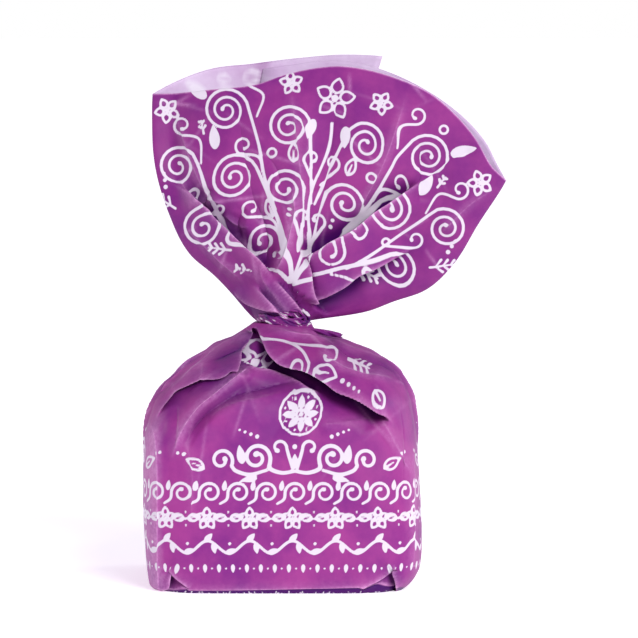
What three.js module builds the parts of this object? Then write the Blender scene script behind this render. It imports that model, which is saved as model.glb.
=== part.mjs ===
// A chocolate truffle in its paper wrapper: a soft block on a folded base, with the paper
// gathered over it, twisted at a neck and fanned out above in an open, flattened tuft.
//
// Millimetres, +Z up. The origin is the middle of the base and the front looks along -Y.
// The wrapper is one sheet round one sweet, so it is one closed solid: rings of points climb
// the outside from the base to the rim of the tuft, turn over it and go down its inside.
import * as THREE from "three";

// ---- Driving dimensions -------------------------------------------------------------------
const COLUMNS = 84; // points in each ring
const NECK_RADIUS = 3.3;
const NECK_X = 0.1; // the neck stands just right of the middle
const NECK_HEIGHT = 31.5;
const WALL_TOP = 19.5; // where the sides begin to lean in
const BODY_HALF_DEPTH = 16.6;
const CORNER_SQUARENESS = 6; // power of the super-ellipse that the body's section follows
const TUFT_CENTRE = { x: 0.2, z: 31.6 }; // the fan's rays start here
const TUFT_HALF_DEPTH = 6.4; // half the tuft's mouth, front to back
const PAPER_WALL = 0.8; // thickness of the tuft's wall
const FUNNEL_FLOOR = 0.42; // how far down the tuft stays open, as a share of its rays
const NECK_SHARE = 0.105; // the share of a ray that the neck's ring takes up
const NECK_PLEATS = 12;
const NECK_PLEAT_DEPTH = 0.42;
const NECK_TWIST = 2.4; // radians that the pleats turn on their way through the neck

const { lerp, clamp, smoothstep, degToRad } = THREE.MathUtils;

// A smooth curve through [x, y] knots, level outside them.
function through(...knots) {
  const slope = (i) => {
    const a = knots[Math.max(i - 1, 0)];
    const b = knots[Math.min(i + 1, knots.length - 1)];
    return (b[1] - a[1]) / (b[0] - a[0]);
  };
  return (x) => {
    if (x <= knots[0][0]) return knots[0][1];
    const last = knots.length - 1;
    if (x >= knots[last][0]) return knots[last][1];
    const i = knots.findIndex((k) => k[0] > x) - 1;
    const [[x0, y0], [x1, y1]] = [knots[i], knots[i + 1]];
    const span = x1 - x0;
    const u = (x - x0) / span;
    const hermite = [
      2 * u ** 3 - 3 * u ** 2 + 1,
      u ** 3 - 2 * u ** 2 + u,
      -2 * u ** 3 + 3 * u ** 2,
      u ** 3 - u ** 2,
    ];
    return (
      hermite[0] * y0 + hermite[1] * span * slope(i) + hermite[2] * y1 + hermite[3] * span * slope(i + 1)
    );
  };
}

// ---- Folds --------------------------------------------------------------------------------
// A fold runs along a bent line of [x, z] points in the front view. It lifts the paper by
// height at the line and fades over a width on each side: left of its direction, then right.
function foldLift([points, height, leftWidth, rightWidth], x, z) {
  let best = { distance: Infinity, side: 1, along: 0 };
  for (let i = 0; i + 1 < points.length; i++) {
    const [ax, az] = points[i];
    const [bx, bz] = points[i + 1];
    const [dx, dz] = [bx - ax, bz - az];
    const length = Math.hypot(dx, dz);
    const share = clamp(((x - ax) * dx + (z - az) * dz) / length ** 2, 0, 1);
    const distance = Math.hypot(x - ax - dx * share, z - az - dz * share);
    const side = Math.sign(dx * (z - az) - dz * (x - ax)) || 1;
    if (distance < best.distance) best = { distance, side, along: (i + share) / (points.length - 1) };
  }
  const width = best.side > 0 ? leftWidth : rightWidth;
  const ends = smoothstep(best.along, 0, 0.25) * (1 - 0.6 * smoothstep(best.along, 0.7, 1));
  return height * ends * Math.max(0, 1 - best.distance / width);
}

const liftAll = (folds, x, z) => folds.reduce((sum, fold) => sum + foldLift(fold, x, z), 0);

// ---- The body: a block with leaning, softly bulging sides -----------------------------------
const leftHalf = through([0, 15.2], [0.6, 15.8], [2.6, 16.2], [9.8, 16.7], [16, 16.95], [20, 16.8]);
const rightHalf = through([0, 14], [1.2, 15.4], [2.6, 16.2], [5.5, 16.7], [9, 16.8], [15, 16.6], [20, 16.25]);
const depthShare = through([0, 0.92], [0.8, 0.97], [3, 0.99], [12, 1.01], [20, 0.98]);
const shoulderRoundness = (angle) => 1.6 + 0.2 * Math.cos(angle);

function squareRadius(angle, power) {
  const sum = Math.abs(Math.cos(angle)) ** power + Math.abs(Math.sin(angle)) ** power;
  return sum ** (-1 / power);
}

function wallPoint(angle, z) {
  const radius = squareRadius(angle, CORNER_SQUARENESS);
  const half = Math.cos(angle) > 0 ? rightHalf(z) : leftHalf(z);
  const depth = BODY_HALF_DEPTH * depthShare(z);
  return new THREE.Vector3(half * radius * Math.cos(angle), depth * radius * Math.sin(angle), z);
}

// The gable over the front, and the big folds that run from the neck to the corners.
const SHOULDER_FOLDS = [
  [[[-2, 31], [-6, 27.6], [-10.5, 23], [-14, 16.5]], 0.9, 3.4, 2.2],
  [[[-3, 31], [-9.5, 27], [-15.5, 20.5]], 0.7, 2, 2.4],
  [[[0, 31], [2.5, 26.5], [7, 23.6], [14.5, 20.2]], 1.1, 4.5, 1.6],
  [[[2, 31], [8, 28.5], [15, 24]], 0.6, 2.6, 2.6],
];
const BACK_FOLDS = [
  [[[1, 31], [5, 26], [9, 20], [12, 14]], 0.8, 2.4, 3],
  [[[-1, 31], [-4, 27], [-6, 21]], 0.7, 2, 2.4],
  [[[-2, 31], [-9, 26.5], [-15, 21]], 0.8, 2.6, 2],
];
const SIDE_FOLDS = [
  [[[1, 31], [5, 27], [9.5, 22], [13, 15]], 0.8, 2.6, 2.6],
  [[[-1, 31], [-6, 27], [-12, 21]], 0.9, 2.2, 3],
];

function shoulderPoint(angle, share) {
  const turn = (share * Math.PI) / 2;
  const power = 2 / shoulderRoundness(angle);
  const outward = Math.cos(turn) ** power;
  const upward = Math.sin(turn) ** power;
  const squareness = lerp(CORNER_SQUARENESS, 2, share ** 0.8);
  const round = squareRadius(angle, squareness) / squareRadius(angle, CORNER_SQUARENESS);
  const wall = wallPoint(angle, WALL_TOP);
  const neckX = NECK_X + NECK_RADIUS * Math.cos(angle);
  const neckY = NECK_RADIUS * Math.sin(angle);
  return new THREE.Vector3(
    lerp(neckX, wall.x * round, outward),
    lerp(neckY, wall.y * round, outward),
    lerp(WALL_TOP, NECK_HEIGHT, upward),
  );
}

// Moves a point of the body out along its radius by the folds of the side that it faces.
function withBodyFolds(point, angle) {
  const facing = (to) => smoothstep(Math.cos(angle - to), 0.55, 0.85);
  const lift =
    facing(-Math.PI / 2) * liftAll(SHOULDER_FOLDS, point.x, point.z) +
    facing(Math.PI / 2) * liftAll(BACK_FOLDS, -point.x, point.z) +
    facing(0) * liftAll(SIDE_FOLDS, point.y, point.z) +
    facing(Math.PI) * liftAll(SIDE_FOLDS, -point.y, point.z);
  point.x += lift * Math.cos(angle);
  point.y += lift * Math.sin(angle);
  return point;
}

// ---- The neck: pleats that wind round as they pass through it --------------------------------
function withNeckPleats(point, angle) {
  const height = (point.z - NECK_HEIGHT) / 3;
  const near = Math.exp(-(height ** 2));
  const phase = NECK_PLEATS * angle + NECK_TWIST * NECK_PLEATS * 0.25 * height;
  const pleat = Math.abs((((phase / Math.PI) % 2) + 2) % 2 - 1) - 0.5;
  const lift = 2 * NECK_PLEAT_DEPTH * pleat * near;
  point.x += lift * Math.cos(angle);
  point.y += lift * Math.sin(angle);
  return point;
}

// ---- The tuft: a funnel pressed flat, with a sharp crease down its left and right edges ------
// Its rays start at the neck. Their directions are in degrees from upright, towards +X, and
// share runs from 0 at the neck to 1 at the rim. across runs from 0, left, to 1, right.
const leftRay = through([0.1, -86], [0.17, -72], [0.27, -58.5], [0.44, -54.4], [0.6, -47], [0.78, -39.9], [1, -29.9]);
const rightRay = through([0.1, 84], [0.28, 84], [0.42, 79.7], [0.55, 77.4], [0.67, 71.7], [0.82, 63.4], [1, 57.3]);
const frontReach = through(
  [0, 31.8], [0.05, 30.5], [0.155, 29.3], [0.26, 28.8], [0.35, 29.6], [0.5, 31.3],
  [0.63, 32.4], [0.71, 32.9], [0.79, 32.6], [0.87, 32], [1, 31.9],
);
const backReach = through([0, 31.8], [0.15, 31.7], [0.26, 31.2], [0.38, 31.7], [0.49, 32.9], [0.58, 34.1], [0.66, 32.9], [1, 31.9]);
const mouthDepth = through([0, 2.6], [0.2, 3.6], [0.45, 4.6], [1, TUFT_HALF_DEPTH]);
const sway = (across, share) => share ** 2 * (1.6 * Math.cos(Math.PI * across) + 0.9 * Math.sin(2 * Math.PI * across));

const TUFT_FRONT_FOLDS = [
  [[[4.2, 39.6], [10, 43], [17.5, 47.6]], 1.6, 1.2, 5],
  [[[3.5, 34], [11, 38.4], [18, 42]], -1.3, 2.4, 2.2],
  [[[3, 33], [-5, 42.5], [-11.5, 47.5]], 1.2, 1.6, 3.6],
  [[[1.5, 35], [-2.5, 44], [-6.5, 51]], -0.9, 1.8, 1.6],
  [[[2.2, 35], [1, 45], [0, 54]], 0.7, 2.4, 1.4],
];
const TUFT_BACK_FOLDS = [
  [[[-1, 35], [-7, 45], [-12, 55]], 1.1, 2.4, 2],
  [[[2, 35], [6, 45], [9, 57]], 1.2, 2.6, 2.2],
  [[[4, 34], [12, 39.5], [20, 44.5]], 1.1, 2, 3],
];

// A point on the tuft. The front half of a ring runs from the left crease to the right one.
// inset is the distance that the inside face lies within the outside one.
function tuftPoint(angle, share, inset = 0) {
  const turn = ((angle % (2 * Math.PI)) + 2 * Math.PI) % (2 * Math.PI);
  const front = turn >= Math.PI;
  const across = front ? turn / Math.PI - 1 : 1 - turn / Math.PI;
  const reach = (front ? frontReach(across) : backReach(across)) * share;
  const inner = degToRad((inset * 75) / reach);
  const ray = lerp(degToRad(leftRay(share)) + inner, degToRad(rightRay(share)) - inner, across);
  const flat = new THREE.Vector2(TUFT_CENTRE.x + reach * Math.sin(ray), TUFT_CENTRE.z + reach * Math.cos(ray));
  const bulge = Math.sin(Math.PI * across) ** 0.8;
  const halfDepth = (mouthDepth(share) - inset) * bulge;
  const folds = front ? TUFT_FRONT_FOLDS : TUFT_BACK_FOLDS;
  const lift = liftAll(folds, flat.x, flat.y) * Math.min(1, 2 * bulge);
  const fan = new THREE.Vector3(
    flat.x,
    sway(across, share) + (front ? -1 : 1) * (halfDepth + lift),
    flat.y,
  );
  const ring = new THREE.Vector3(
    NECK_X + NECK_RADIUS * Math.cos(angle),
    NECK_RADIUS * Math.sin(angle),
    NECK_HEIGHT,
  );
  return ring.lerp(fan, smoothstep(share, NECK_SHARE, 0.34));
}

// ---- The skin: rings from the base, over the rim and down the inside ------------------------
const steps = (from, to, count) => Array.from({ length: count }, (_, i) => lerp(from, to, i / (count - 1)));
const ring = (place) =>
  Array.from({ length: COLUMNS }, (_, i) => {
    const angle = (2 * Math.PI * i) / COLUMNS;
    return place(angle);
  });
const baseRing = (share) => ring((angle) => wallPoint(angle, 0).multiplyScalar(share));
const wallRing = (z) => ring((angle) => withBodyFolds(wallPoint(angle, z), angle));
const shoulderRing = (share) =>
  ring((angle) => withNeckPleats(withBodyFolds(shoulderPoint(angle, share), angle), angle));
const tuftRing = (share) => ring((angle) => withNeckPleats(tuftPoint(angle, share), angle));
const insideRing = (share) => ring((angle) => tuftPoint(angle, share, PAPER_WALL));

const rings = [
  baseRing(0.5),
  baseRing(1),
  ...[0.6, 1.6, 3.4, 7, 11, 15].map(wallRing),
  ...steps(0, 0.94, 10).map(shoulderRing),
  ...steps(NECK_SHARE, 0.3, 5).map(tuftRing),
  ...steps(0.37, 1, 10).map(tuftRing),
  ...steps(1, FUNNEL_FLOOR, 8).map(insideRing),
];

// Joins the rings into one closed surface, with a point in the middle of the first and last.
function skin() {
  const middle = (points) => points.reduce((sum, p) => sum.add(p), new THREE.Vector3()).divideScalar(points.length);
  const points = [...rings.flat(), middle(rings[0]), middle(rings.at(-1))];
  const [bottom, floor] = [points.length - 2, points.length - 1];
  const lastRing = (rings.length - 1) * COLUMNS;
  const triangles = [];
  for (let i = 0; i < COLUMNS; i++) {
    const next = (i + 1) % COLUMNS;
    triangles.push(bottom, next, i);
    triangles.push(floor, lastRing + i, lastRing + next);
    for (let row = 0; row + 1 < rings.length; row++) {
      const [low, high] = [row * COLUMNS, (row + 1) * COLUMNS];
      triangles.push(low + i, low + next, high + next);
      triangles.push(low + i, high + next, high + i);
    }
  }
  const geometry = new THREE.BufferGeometry();
  geometry.setAttribute("position", new THREE.Float32BufferAttribute(points.flatMap((p) => p.toArray()), 3));
  geometry.setIndex(triangles);
  return geometry;
}

const paper = new THREE.MeshStandardMaterial({ color: 0xa04090, roughness: 0.45, metalness: 0 });
const wrapper = new THREE.Mesh(skin(), paper);
wrapper.name = "wrapped_truffle";

const truffle = new THREE.Group();
truffle.add(wrapper);
export default truffle;
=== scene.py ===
"""A wrapped chocolate truffle: printed waxed paper folded round a soft block, twisted and fanned out above.

The paper's shape is worked out in millimetres and made into meshes in metres.
"""

import math

import bpy
import numpy as np
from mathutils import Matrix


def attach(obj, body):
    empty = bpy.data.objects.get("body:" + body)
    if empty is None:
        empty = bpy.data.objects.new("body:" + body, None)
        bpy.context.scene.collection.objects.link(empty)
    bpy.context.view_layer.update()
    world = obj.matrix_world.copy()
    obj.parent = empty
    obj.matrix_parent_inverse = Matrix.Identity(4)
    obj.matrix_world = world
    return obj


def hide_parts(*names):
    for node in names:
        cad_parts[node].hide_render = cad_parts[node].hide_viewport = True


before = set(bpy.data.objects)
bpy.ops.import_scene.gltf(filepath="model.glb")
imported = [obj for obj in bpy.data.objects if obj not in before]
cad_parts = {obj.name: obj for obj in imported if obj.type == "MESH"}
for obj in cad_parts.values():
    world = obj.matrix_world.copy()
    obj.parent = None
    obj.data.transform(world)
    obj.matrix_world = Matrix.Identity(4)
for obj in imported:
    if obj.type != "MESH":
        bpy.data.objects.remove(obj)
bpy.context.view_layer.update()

# ---- The view and the light ---------------------------------------------------------------------
# A studio shot of the printed front from a little above and from well back: one long lens, a
# white surround and large soft lights. Nothing here is part of the truffle.
MM = 0.001
PIXEL = 0.12  # millimetres that one pixel of the 638 pixel photograph covers at the view's middle
PHOTO_MIDDLE = 319
AXIS_PIXEL = 282  # the photograph's column on which the truffle stands
BASE_PIXEL = 594  # and the row of its front lower edge
VIEW_DISTANCE = 700
VIEW_TILT = math.radians(4)
view_middle = np.array([(PHOTO_MIDDLE - AXIS_PIXEL) * PIXEL, -10, 32.4])
view_forward = np.array([0, math.cos(VIEW_TILT), -math.sin(VIEW_TILT)])
view_up = np.array([0, math.sin(VIEW_TILT), math.cos(VIEW_TILT)])


def shown(name, data):
    """An object that stands in the scene."""
    thing = bpy.data.objects.new(name, data)
    bpy.context.scene.collection.objects.link(thing)
    return thing


camera_data = bpy.data.cameras.new("camera")
camera_data.sensor_width = 36
camera_data.lens = camera_data.sensor_width * VIEW_DISTANCE / (2 * PHOTO_MIDDLE * PIXEL)
camera_data.clip_start = 0.01
camera = shown("camera", camera_data)
camera.location = (view_middle - VIEW_DISTANCE * view_forward) * MM
camera.rotation_euler = (math.pi / 2 - VIEW_TILT, 0, 0)
bpy.context.scene.camera = camera


LIT_HEIGHT = 30


def soft_light(name, kind, strength, size, azimuth, elevation, distance=0):
    """A light that shines at the truffle from azimuth, to the right of the front, and elevation.

    Both are in degrees. size is in degrees for a sun and in millimetres for a panel.
    """
    data = bpy.data.lights.new(name, kind)
    data.energy = strength
    if kind == "SUN":
        data.angle = math.radians(size)
    else:
        data.size = size * MM
    light = shown(name, data)
    azimuth, elevation = math.radians(azimuth), math.radians(elevation)
    level = distance * math.cos(elevation)
    height = LIT_HEIGHT + distance * math.sin(elevation)
    light.location = (level * math.sin(azimuth) * MM, -level * math.cos(azimuth) * MM, height * MM)
    light.rotation_euler = (math.pi / 2 - elevation, 0, azimuth)


soft_light("key_light", "SUN", strength=2.85, size=26, azimuth=25, elevation=27)
soft_light("left_rim_light", "AREA", strength=0.8, size=260, azimuth=-108, elevation=12, distance=420)
soft_light("right_rim_light", "AREA", strength=0.6, size=220, azimuth=112, elevation=15, distance=420)

# The camera sees a white surround, and the truffle is lit by a dimmer, faintly violet one.
world = bpy.data.worlds.new("white_surround")
world.use_nodes = True
surround = world.node_tree
seen = surround.nodes["Background"]
seen.inputs["Color"].default_value = (1, 1, 1, 1)
ambient = surround.nodes.new("ShaderNodeBackground")
ambient.inputs["Color"].default_value = (0.86, 0.7, 1, 1)
ambient.inputs["Strength"].default_value = 0.36
either = surround.nodes.new("ShaderNodeMixShader")
surround.links.new(surround.nodes.new("ShaderNodeLightPath").outputs["Is Camera Ray"], either.inputs[0])
surround.links.new(ambient.outputs[0], either.inputs[1])
surround.links.new(seen.outputs[0], either.inputs[2])
surround.links.new(either.outputs[0], surround.nodes["World Output"].inputs["Surface"])
bpy.context.scene.world = world
bpy.context.scene.view_settings.view_transform = "Standard"

floor_material = bpy.data.materials.new("pale_floor")
floor_material.use_nodes = True
floor_look = floor_material.node_tree.nodes["Principled BSDF"]
floor_look.inputs["Base Color"].default_value = (0.9, 0.9, 0.9, 1)
floor_look.inputs["Roughness"].default_value = 0.8
floor_look.inputs["Emission Color"].default_value = (1, 1, 1, 1)
floor_look.inputs["Emission Strength"].default_value = 0.5
FLOOR_REACH = 3  # metres
floor_mesh = bpy.data.meshes.new("floor")
floor_corners = [(x * FLOOR_REACH, y * FLOOR_REACH, 0) for x, y in ((-1, -1), (1, -1), (1, 1), (-1, 1))]
floor_mesh.from_pydata(floor_corners, [], [(0, 1, 2, 3)])
floor_mesh.materials.append(floor_material)
floor = shown("floor", floor_mesh)


# ---- The wrapper's body --------------------------------------------------------------------------
# One sheet of printed waxed paper stands round a soft square block. Its lower end is folded under
# the block like a parcel's, and above the block it leans in to the neck in flaps and pleats.
NECK_RADIUS = 3.3
NECK_X = 0.1
NECK_HEIGHT = 31.5
WALL_TOP = 19.5
MID_WALL = 10
BODY_HALF_DEPTH = 16.6
CORNER_SQUARENESS = 6  # 2 would be a round body


def through(*knots):
    """A smooth curve through (x, y) knots, level outside them."""
    xs, ys = np.array(knots, float).T
    count = len(xs)
    before = np.maximum(np.arange(count) - 1, 0)
    after = np.minimum(np.arange(count) + 1, count - 1)
    slopes = (ys[after] - ys[before]) / (xs[after] - xs[before])

    def value(x):
        x = np.clip(np.asarray(x, float), xs[0], xs[-1])
        i = np.clip(np.searchsorted(xs, x, side="right") - 1, 0, count - 2)
        span = xs[i + 1] - xs[i]
        u = (x - xs[i]) / span
        start = (2 * u**3 - 3 * u**2 + 1) * ys[i] + (u**3 - 2 * u**2 + u) * span * slopes[i]
        end = (3 * u**2 - 2 * u**3) * ys[i + 1] + (u**3 - u**2) * span * slopes[i + 1]
        return start + end

    return value


def smoothstep(x, low, high):
    u = np.clip((x - low) / (high - low), 0, 1)
    return u * u * (3 - 2 * u)


def mix(a, b, share):
    return a + (b - a) * share


def from_photo(*pixels):
    """Points of the photograph as millimetres across and up, where the view's middle plane is."""
    return np.array([((x - AXIS_PIXEL) * PIXEL, (BASE_PIXEL - y) * PIXEL) for x, y in pixels])


def seen_from_front(points):
    """Where the photograph's view sees points, in the same millimetres."""
    away = points - view_middle
    scale = VIEW_DISTANCE / (VIEW_DISTANCE + away @ view_forward)
    across = away[..., 0] * scale + view_middle[0]
    up = away @ view_up * scale + (BASE_PIXEL - PHOTO_MIDDLE) * PIXEL
    return np.stack([across, up], -1)


def curved(points, steps=8):
    """A smooth line through points."""
    points = np.asarray(points, float)
    places = np.arange(len(points))
    fine = np.linspace(0, len(points) - 1, (len(points) - 1) * steps + 1)
    return np.stack([through(*zip(places, points[:, i]))(fine) for i in range(2)], -1)


def beside(spots, line):
    """For each spot: its distance to a line, its share along it, and the direction of the line's left.

    The distance is positive on the left of the line.
    """
    best = np.full(spots.shape[:-1], np.inf)
    side = np.zeros_like(best)
    along = np.zeros_like(best)
    left = np.zeros(spots.shape)
    for i, (a, b) in enumerate(zip(line[:-1], line[1:])):
        step = b - a
        away = spots - a
        share = np.clip(away @ step / (step @ step), 0, 1)
        gap = np.linalg.norm(away - share[..., None] * step, axis=-1)
        nearer = gap < best
        best = np.where(nearer, gap, best)
        normal = np.array([-step[1], step[0]]) / np.linalg.norm(step)
        side = np.where(nearer, np.where(away @ normal < 0, -1, 1), side)
        along = np.where(nearer, (i + share) / (len(line) - 1), along)
        left[nearer] = normal
    return best * side, along, left


class Paper:
    """A stretch of paper, with the folds laid into it as seen from one side."""

    def __init__(self, spots, toward, reach):
        self.spots = spots  # where that side's view sees each point, across and up
        self.toward = np.array(toward, float)  # towards the side that sees it
        self.reach = reach  # how far each point belongs to this side, 0 to 1
        # For each point: how far it is raised, and how far it slides over the folds beside it.
        self.lift = np.zeros(spots.shape[:-1])
        self.shift = np.zeros(spots.shape)
        # How far the folds draw the print in under them, and the way out from under a folded edge.
        self.hidden = np.zeros(spots.shape)
        self.under = np.zeros(spots.shape)
        # How rubbed, bare of print, darkened with painted shade, and steep the folds leave it, 0 to about 1.
        self.wear, self.bare, self.painted_shade, self.steep = np.zeros((4, *spots.shape[:-1]))

    def lap(
        self, line, height, high, low, lip=0.4, valley=0.0, hidden=1.2, ends=(0.15, 0.2), soft=0.2, dark=None,
    ):
        """A folded edge that lies over the paper on its right, raised by height and overhanging by lip.

        It fades within high on its own side. The paper under it sinks by valley, within low.
        """
        line = curved(line)
        d, along, left = beside(self.spots, line)
        rising = smoothstep(along, 0, ends[0]) if ends[0] else 1
        falling = 1 - smoothstep(along, 1 - ends[1], 1) if ends[1] else 1
        strength = rising * falling * self.reach
        over = smoothstep(d, -soft, soft)
        near = np.abs(d)
        rise = np.maximum(0, 1 - near / high) ** 1.4
        sink = np.maximum(0, 1 - near / low) ** 2
        self.lift += strength * mix(-valley * sink, height * rise, over)
        pull = -0.9 * d * np.exp(-((near / (2.2 * soft)) ** 4))
        self.shift += (strength * (pull - lip * over * np.exp(-((near / 1.1) ** 2))))[..., None] * left
        self.hidden += (strength * (1 - over) * -hidden * np.exp(-near / 5))[..., None] * left
        on_edge = 0.9 * np.exp(-(((near - soft) / (0.7 * soft)) ** 2))
        self.wear += strength * over * (on_edge + 0.35 * np.exp(-near / 0.5))
        self.bare = np.maximum(self.bare, strength * np.exp(-(((d + 0.3 * soft) / (0.8 * soft)) ** 2)))
        # The paper under the edge is darkened with painted shade, by dark at most.
        deepest = dark or min(1, (height + valley) / 3)
        depth = deepest * np.exp(-((np.maximum(near - lip, 0) / (0.4 * low)) ** 1.5))
        self.painted_shade = np.maximum(self.painted_shade, strength * (1 - over) * depth)
        steep = strength * np.exp(-((near / (lip + 1)) ** 2))
        self.steep = np.maximum(self.steep, steep)
        self.under += steep[..., None] * left

    def crease(self, line, height, left_width, right_width=None, ends=(0.15, 0.3), soft=0.2, dark=None):
        """A ridge, or a valley where height is negative, that fades over a width on each side."""
        line = curved(line)
        d, along, left = beside(self.spots, line)
        strength = smoothstep(along, 0, ends[0]) * (1 - smoothstep(along, 1 - ends[1], 1)) * self.reach
        near = np.abs(d)
        width = np.where(d >= 0, left_width, right_width or left_width)
        fade = np.maximum(0, 1 - near / width)
        self.lift += strength * height * (0.7 * fade + 0.3 * fade**3)
        self.shift += (strength * -0.7 * d * np.exp(-((near / (1.8 * soft)) ** 4)))[..., None] * left
        # Ridges are rubbed paler; a valley darkens the paper with painted shade, by dark at most.
        if height > 0:
            rubbed = 0.6 * np.exp(-((near / 0.16) ** 2)) + 0.5 * np.exp(-((near / 0.6) ** 2))
            self.wear += min(1, height) * strength * rubbed
        else:
            self.painted_shade = np.maximum(self.painted_shade, strength * (dark or min(0.5, -0.35 * height)) * fade**1.4)

    def dent(self, middle, size, depth, turn=0):
        """A soft dent, size across and up, turned by degrees."""
        c, s = math.cos(math.radians(turn)), math.sin(math.radians(turn))
        away = self.spots - np.asarray(middle)
        a = (away[..., 0] * c + away[..., 1] * s) / size[0]
        b = (away[..., 1] * c - away[..., 0] * s) / size[1]
        self.lift -= depth * np.exp(-(a**2 + b**2)) * self.reach

    def moved(self, normals):
        """How far the folds move each point: towards the side that sees it, and along the paper."""
        facing = np.maximum(normals @ self.toward, 0.35)
        across = np.array([-self.toward[1], self.toward[0], 0])
        slide = self.shift[..., :1] * across + self.shift[..., 1:] * np.array([0, 0, 1])
        slide -= (np.sum(slide * normals, -1) / facing)[..., None] * self.toward
        return self.lift[..., None] * self.toward + slide

    def turned_away(self, normals):
        """Where the folds stand so steeply that no print shows on them, 0 to 1."""
        return np.minimum(1, 2 * self.steep * smoothstep(-(normals @ self.toward), -0.35, -0.15))


def grid_normals(points, closed):
    """Outward directions of a grid whose rows climb and whose columns run round to the right."""
    up = np.gradient(points, axis=0)
    round_ = np.roll(points, -1, 1) - np.roll(points, 1, 1) if closed else np.gradient(points, axis=1)
    normals = np.cross(round_, up)
    return normals / np.maximum(np.linalg.norm(normals, axis=-1, keepdims=True), 1e-9)


def crumple(spots, seed, count, radiate_from, low, high, depth):
    """Small random creases that mostly run away from one place, as crushed paper has them.

    Their middles lie in the box from low to high. Gives how far they lift each spot, and how rubbed it is.
    """
    draw = np.random.default_rng(seed)
    lift = np.zeros(spots.shape[:-1])
    wear = np.zeros_like(lift)
    for _ in range(count):
        middle = draw.uniform(low, high)
        outward = math.atan2(*(middle - radiate_from)[::-1]) + draw.normal(0, 0.45)
        if draw.random() < 0.3:
            outward += math.pi / 2
        half = draw.uniform(1.5, 5) * np.array([math.cos(outward), math.sin(outward)])
        d, along, _ = beside(spots, np.array([middle - half, middle + half]))
        width = draw.uniform(0.7, 2.4)
        fade = np.maximum(0, 1 - np.abs(d) / width)
        ends = np.sin(np.pi * np.clip(along, 0, 1)) ** 0.7
        height = draw.normal(0, depth)
        lift += height * fade * ends
        if height > 0:
            wear += min(0.5, 4 * height) * ends * np.exp(-((d / 0.2) ** 2))
    return lift, wear


# The shoulders, from the walls' top to the neck: share of the way, rise, and how far out they are on
# the left and on the right.
SHOULDERS = (
    (0, 0, 1, 1), (0.13, 0.24, 0.92, 0.96), (0.25, 0.425, 0.755, 0.88), (0.35, 0.54, 0.635, 0.8),
    (0.48, 0.667, 0.48, 0.645), (0.62, 0.783, 0.325, 0.4), (0.72, 0.84, 0.23, 0.17),
    (0.84, 0.91, 0.13, 0.05), (1, 1, 0, 0),
)
shoulder_rise, left_slope, right_slope = (
    through(*((knot[0], knot[i]) for knot in SHOULDERS)) for i in (1, 2, 3)
)
# The walls' half width on the left and right, and their depth, over the height.
left_half = through((0, 15.7), (0.5, 16.1), (2.6, 16.4), (9.8, 16.8), (16, 16.75), (20, 16.3))
right_half = through(
    (0, 14.9), (0.6, 15.6), (1.4, 16.2), (2.6, 16.7), (5.5, 16.9), (9, 16.8), (15, 16.45), (20, 16),
)
depth_share = through((0, 0.985), (0.5, 0.99), (3, 0.995), (12, 1.005), (20, 0.98))


def square_radius(angle, power):
    return (np.abs(np.cos(angle)) ** power + np.abs(np.sin(angle)) ** power) ** (-1 / power)


def wall_points(angle, z):
    radius = square_radius(angle, CORNER_SQUARENESS)
    half = np.where(np.cos(angle) > 0, right_half(z), left_half(z))
    depth = BODY_HALF_DEPTH * depth_share(z)
    return np.stack([half * radius * np.cos(angle), depth * radius * np.sin(angle), z + 0 * angle], -1)


def shoulder_points(angle, share):
    outward = mix(left_slope(share), right_slope(share), (1 + np.cos(angle)) / 2)
    upward = shoulder_rise(share)
    squareness = mix(CORNER_SQUARENESS, 2, share**0.8)
    rounding = square_radius(angle, squareness) / square_radius(angle, CORNER_SQUARENESS)
    wall = wall_points(angle, WALL_TOP)
    x = mix(NECK_X + NECK_RADIUS * np.cos(angle), wall[..., 0] * rounding, outward)
    y = mix(NECK_RADIUS * np.sin(angle), wall[..., 1] * rounding, outward)
    return np.stack([x, y, mix(WALL_TOP, NECK_HEIGHT, upward) + 0 * x], -1)


def spread_angles(count):
    """Angles round the body, evenly spaced along its wall but twice as close together on the front."""
    fine = np.linspace(-1.5 * math.pi, 0.5 * math.pi, 4001)
    wall = wall_points(fine, MID_WALL)
    steps = np.linalg.norm(np.diff(wall, axis=0), axis=-1)
    middle = (fine[1:] + fine[:-1]) / 2
    steps *= 1 + smoothstep(np.cos(middle + math.pi / 2), 0.2, 0.6)
    length = np.concatenate([[0], np.cumsum(steps)])
    return np.interp(np.linspace(0, length[-1], count, endpoint=False), length, fine)


BODY_COLUMNS = 516
FOOT_ROWS = 8
WALL_ROWS = 90
SHOULDER_ROWS = 80
NECK_SEAM = 0.97  # the share of the shoulders' way at which the tuft's strip takes over
angles = spread_angles(BODY_COLUMNS)[None, :]
foot_heights = np.linspace(0, 0.8, FOOT_ROWS)
wall_heights = np.concatenate([foot_heights, np.linspace(1, WALL_TOP, WALL_ROWS - FOOT_ROWS)])[:, None]
shoulder_shares = (np.linspace(0, 1, SHOULDER_ROWS + 1)[1:] * NECK_SEAM)[:, None]
body_points = np.concatenate([wall_points(angles, wall_heights), shoulder_points(angles, shoulder_shares)])
# The bend at the walls' top is rounded over.
BEND_REACH = 2.2
BEND_SMOOTHINGS = 60
kink = np.exp(-(((body_points[..., 2:] - WALL_TOP) / BEND_REACH) ** 2))
for _ in range(BEND_SMOOTHINGS):
    smoother = body_points.copy()
    smoother[1:-1] = (body_points[:-2] + body_points[2:]) / 2
    body_points = mix(body_points, smoother, 0.5 * kink)
body_normals = grid_normals(body_points, closed=True)

facing_front = smoothstep(np.cos(angles + math.pi / 2), 0.02, 0.35)
below_neck = smoothstep(-body_points[..., 2], -31.4, -30.4)
front = Paper(seen_from_front(body_points), (0, -1, 0), facing_front * below_neck)
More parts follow.
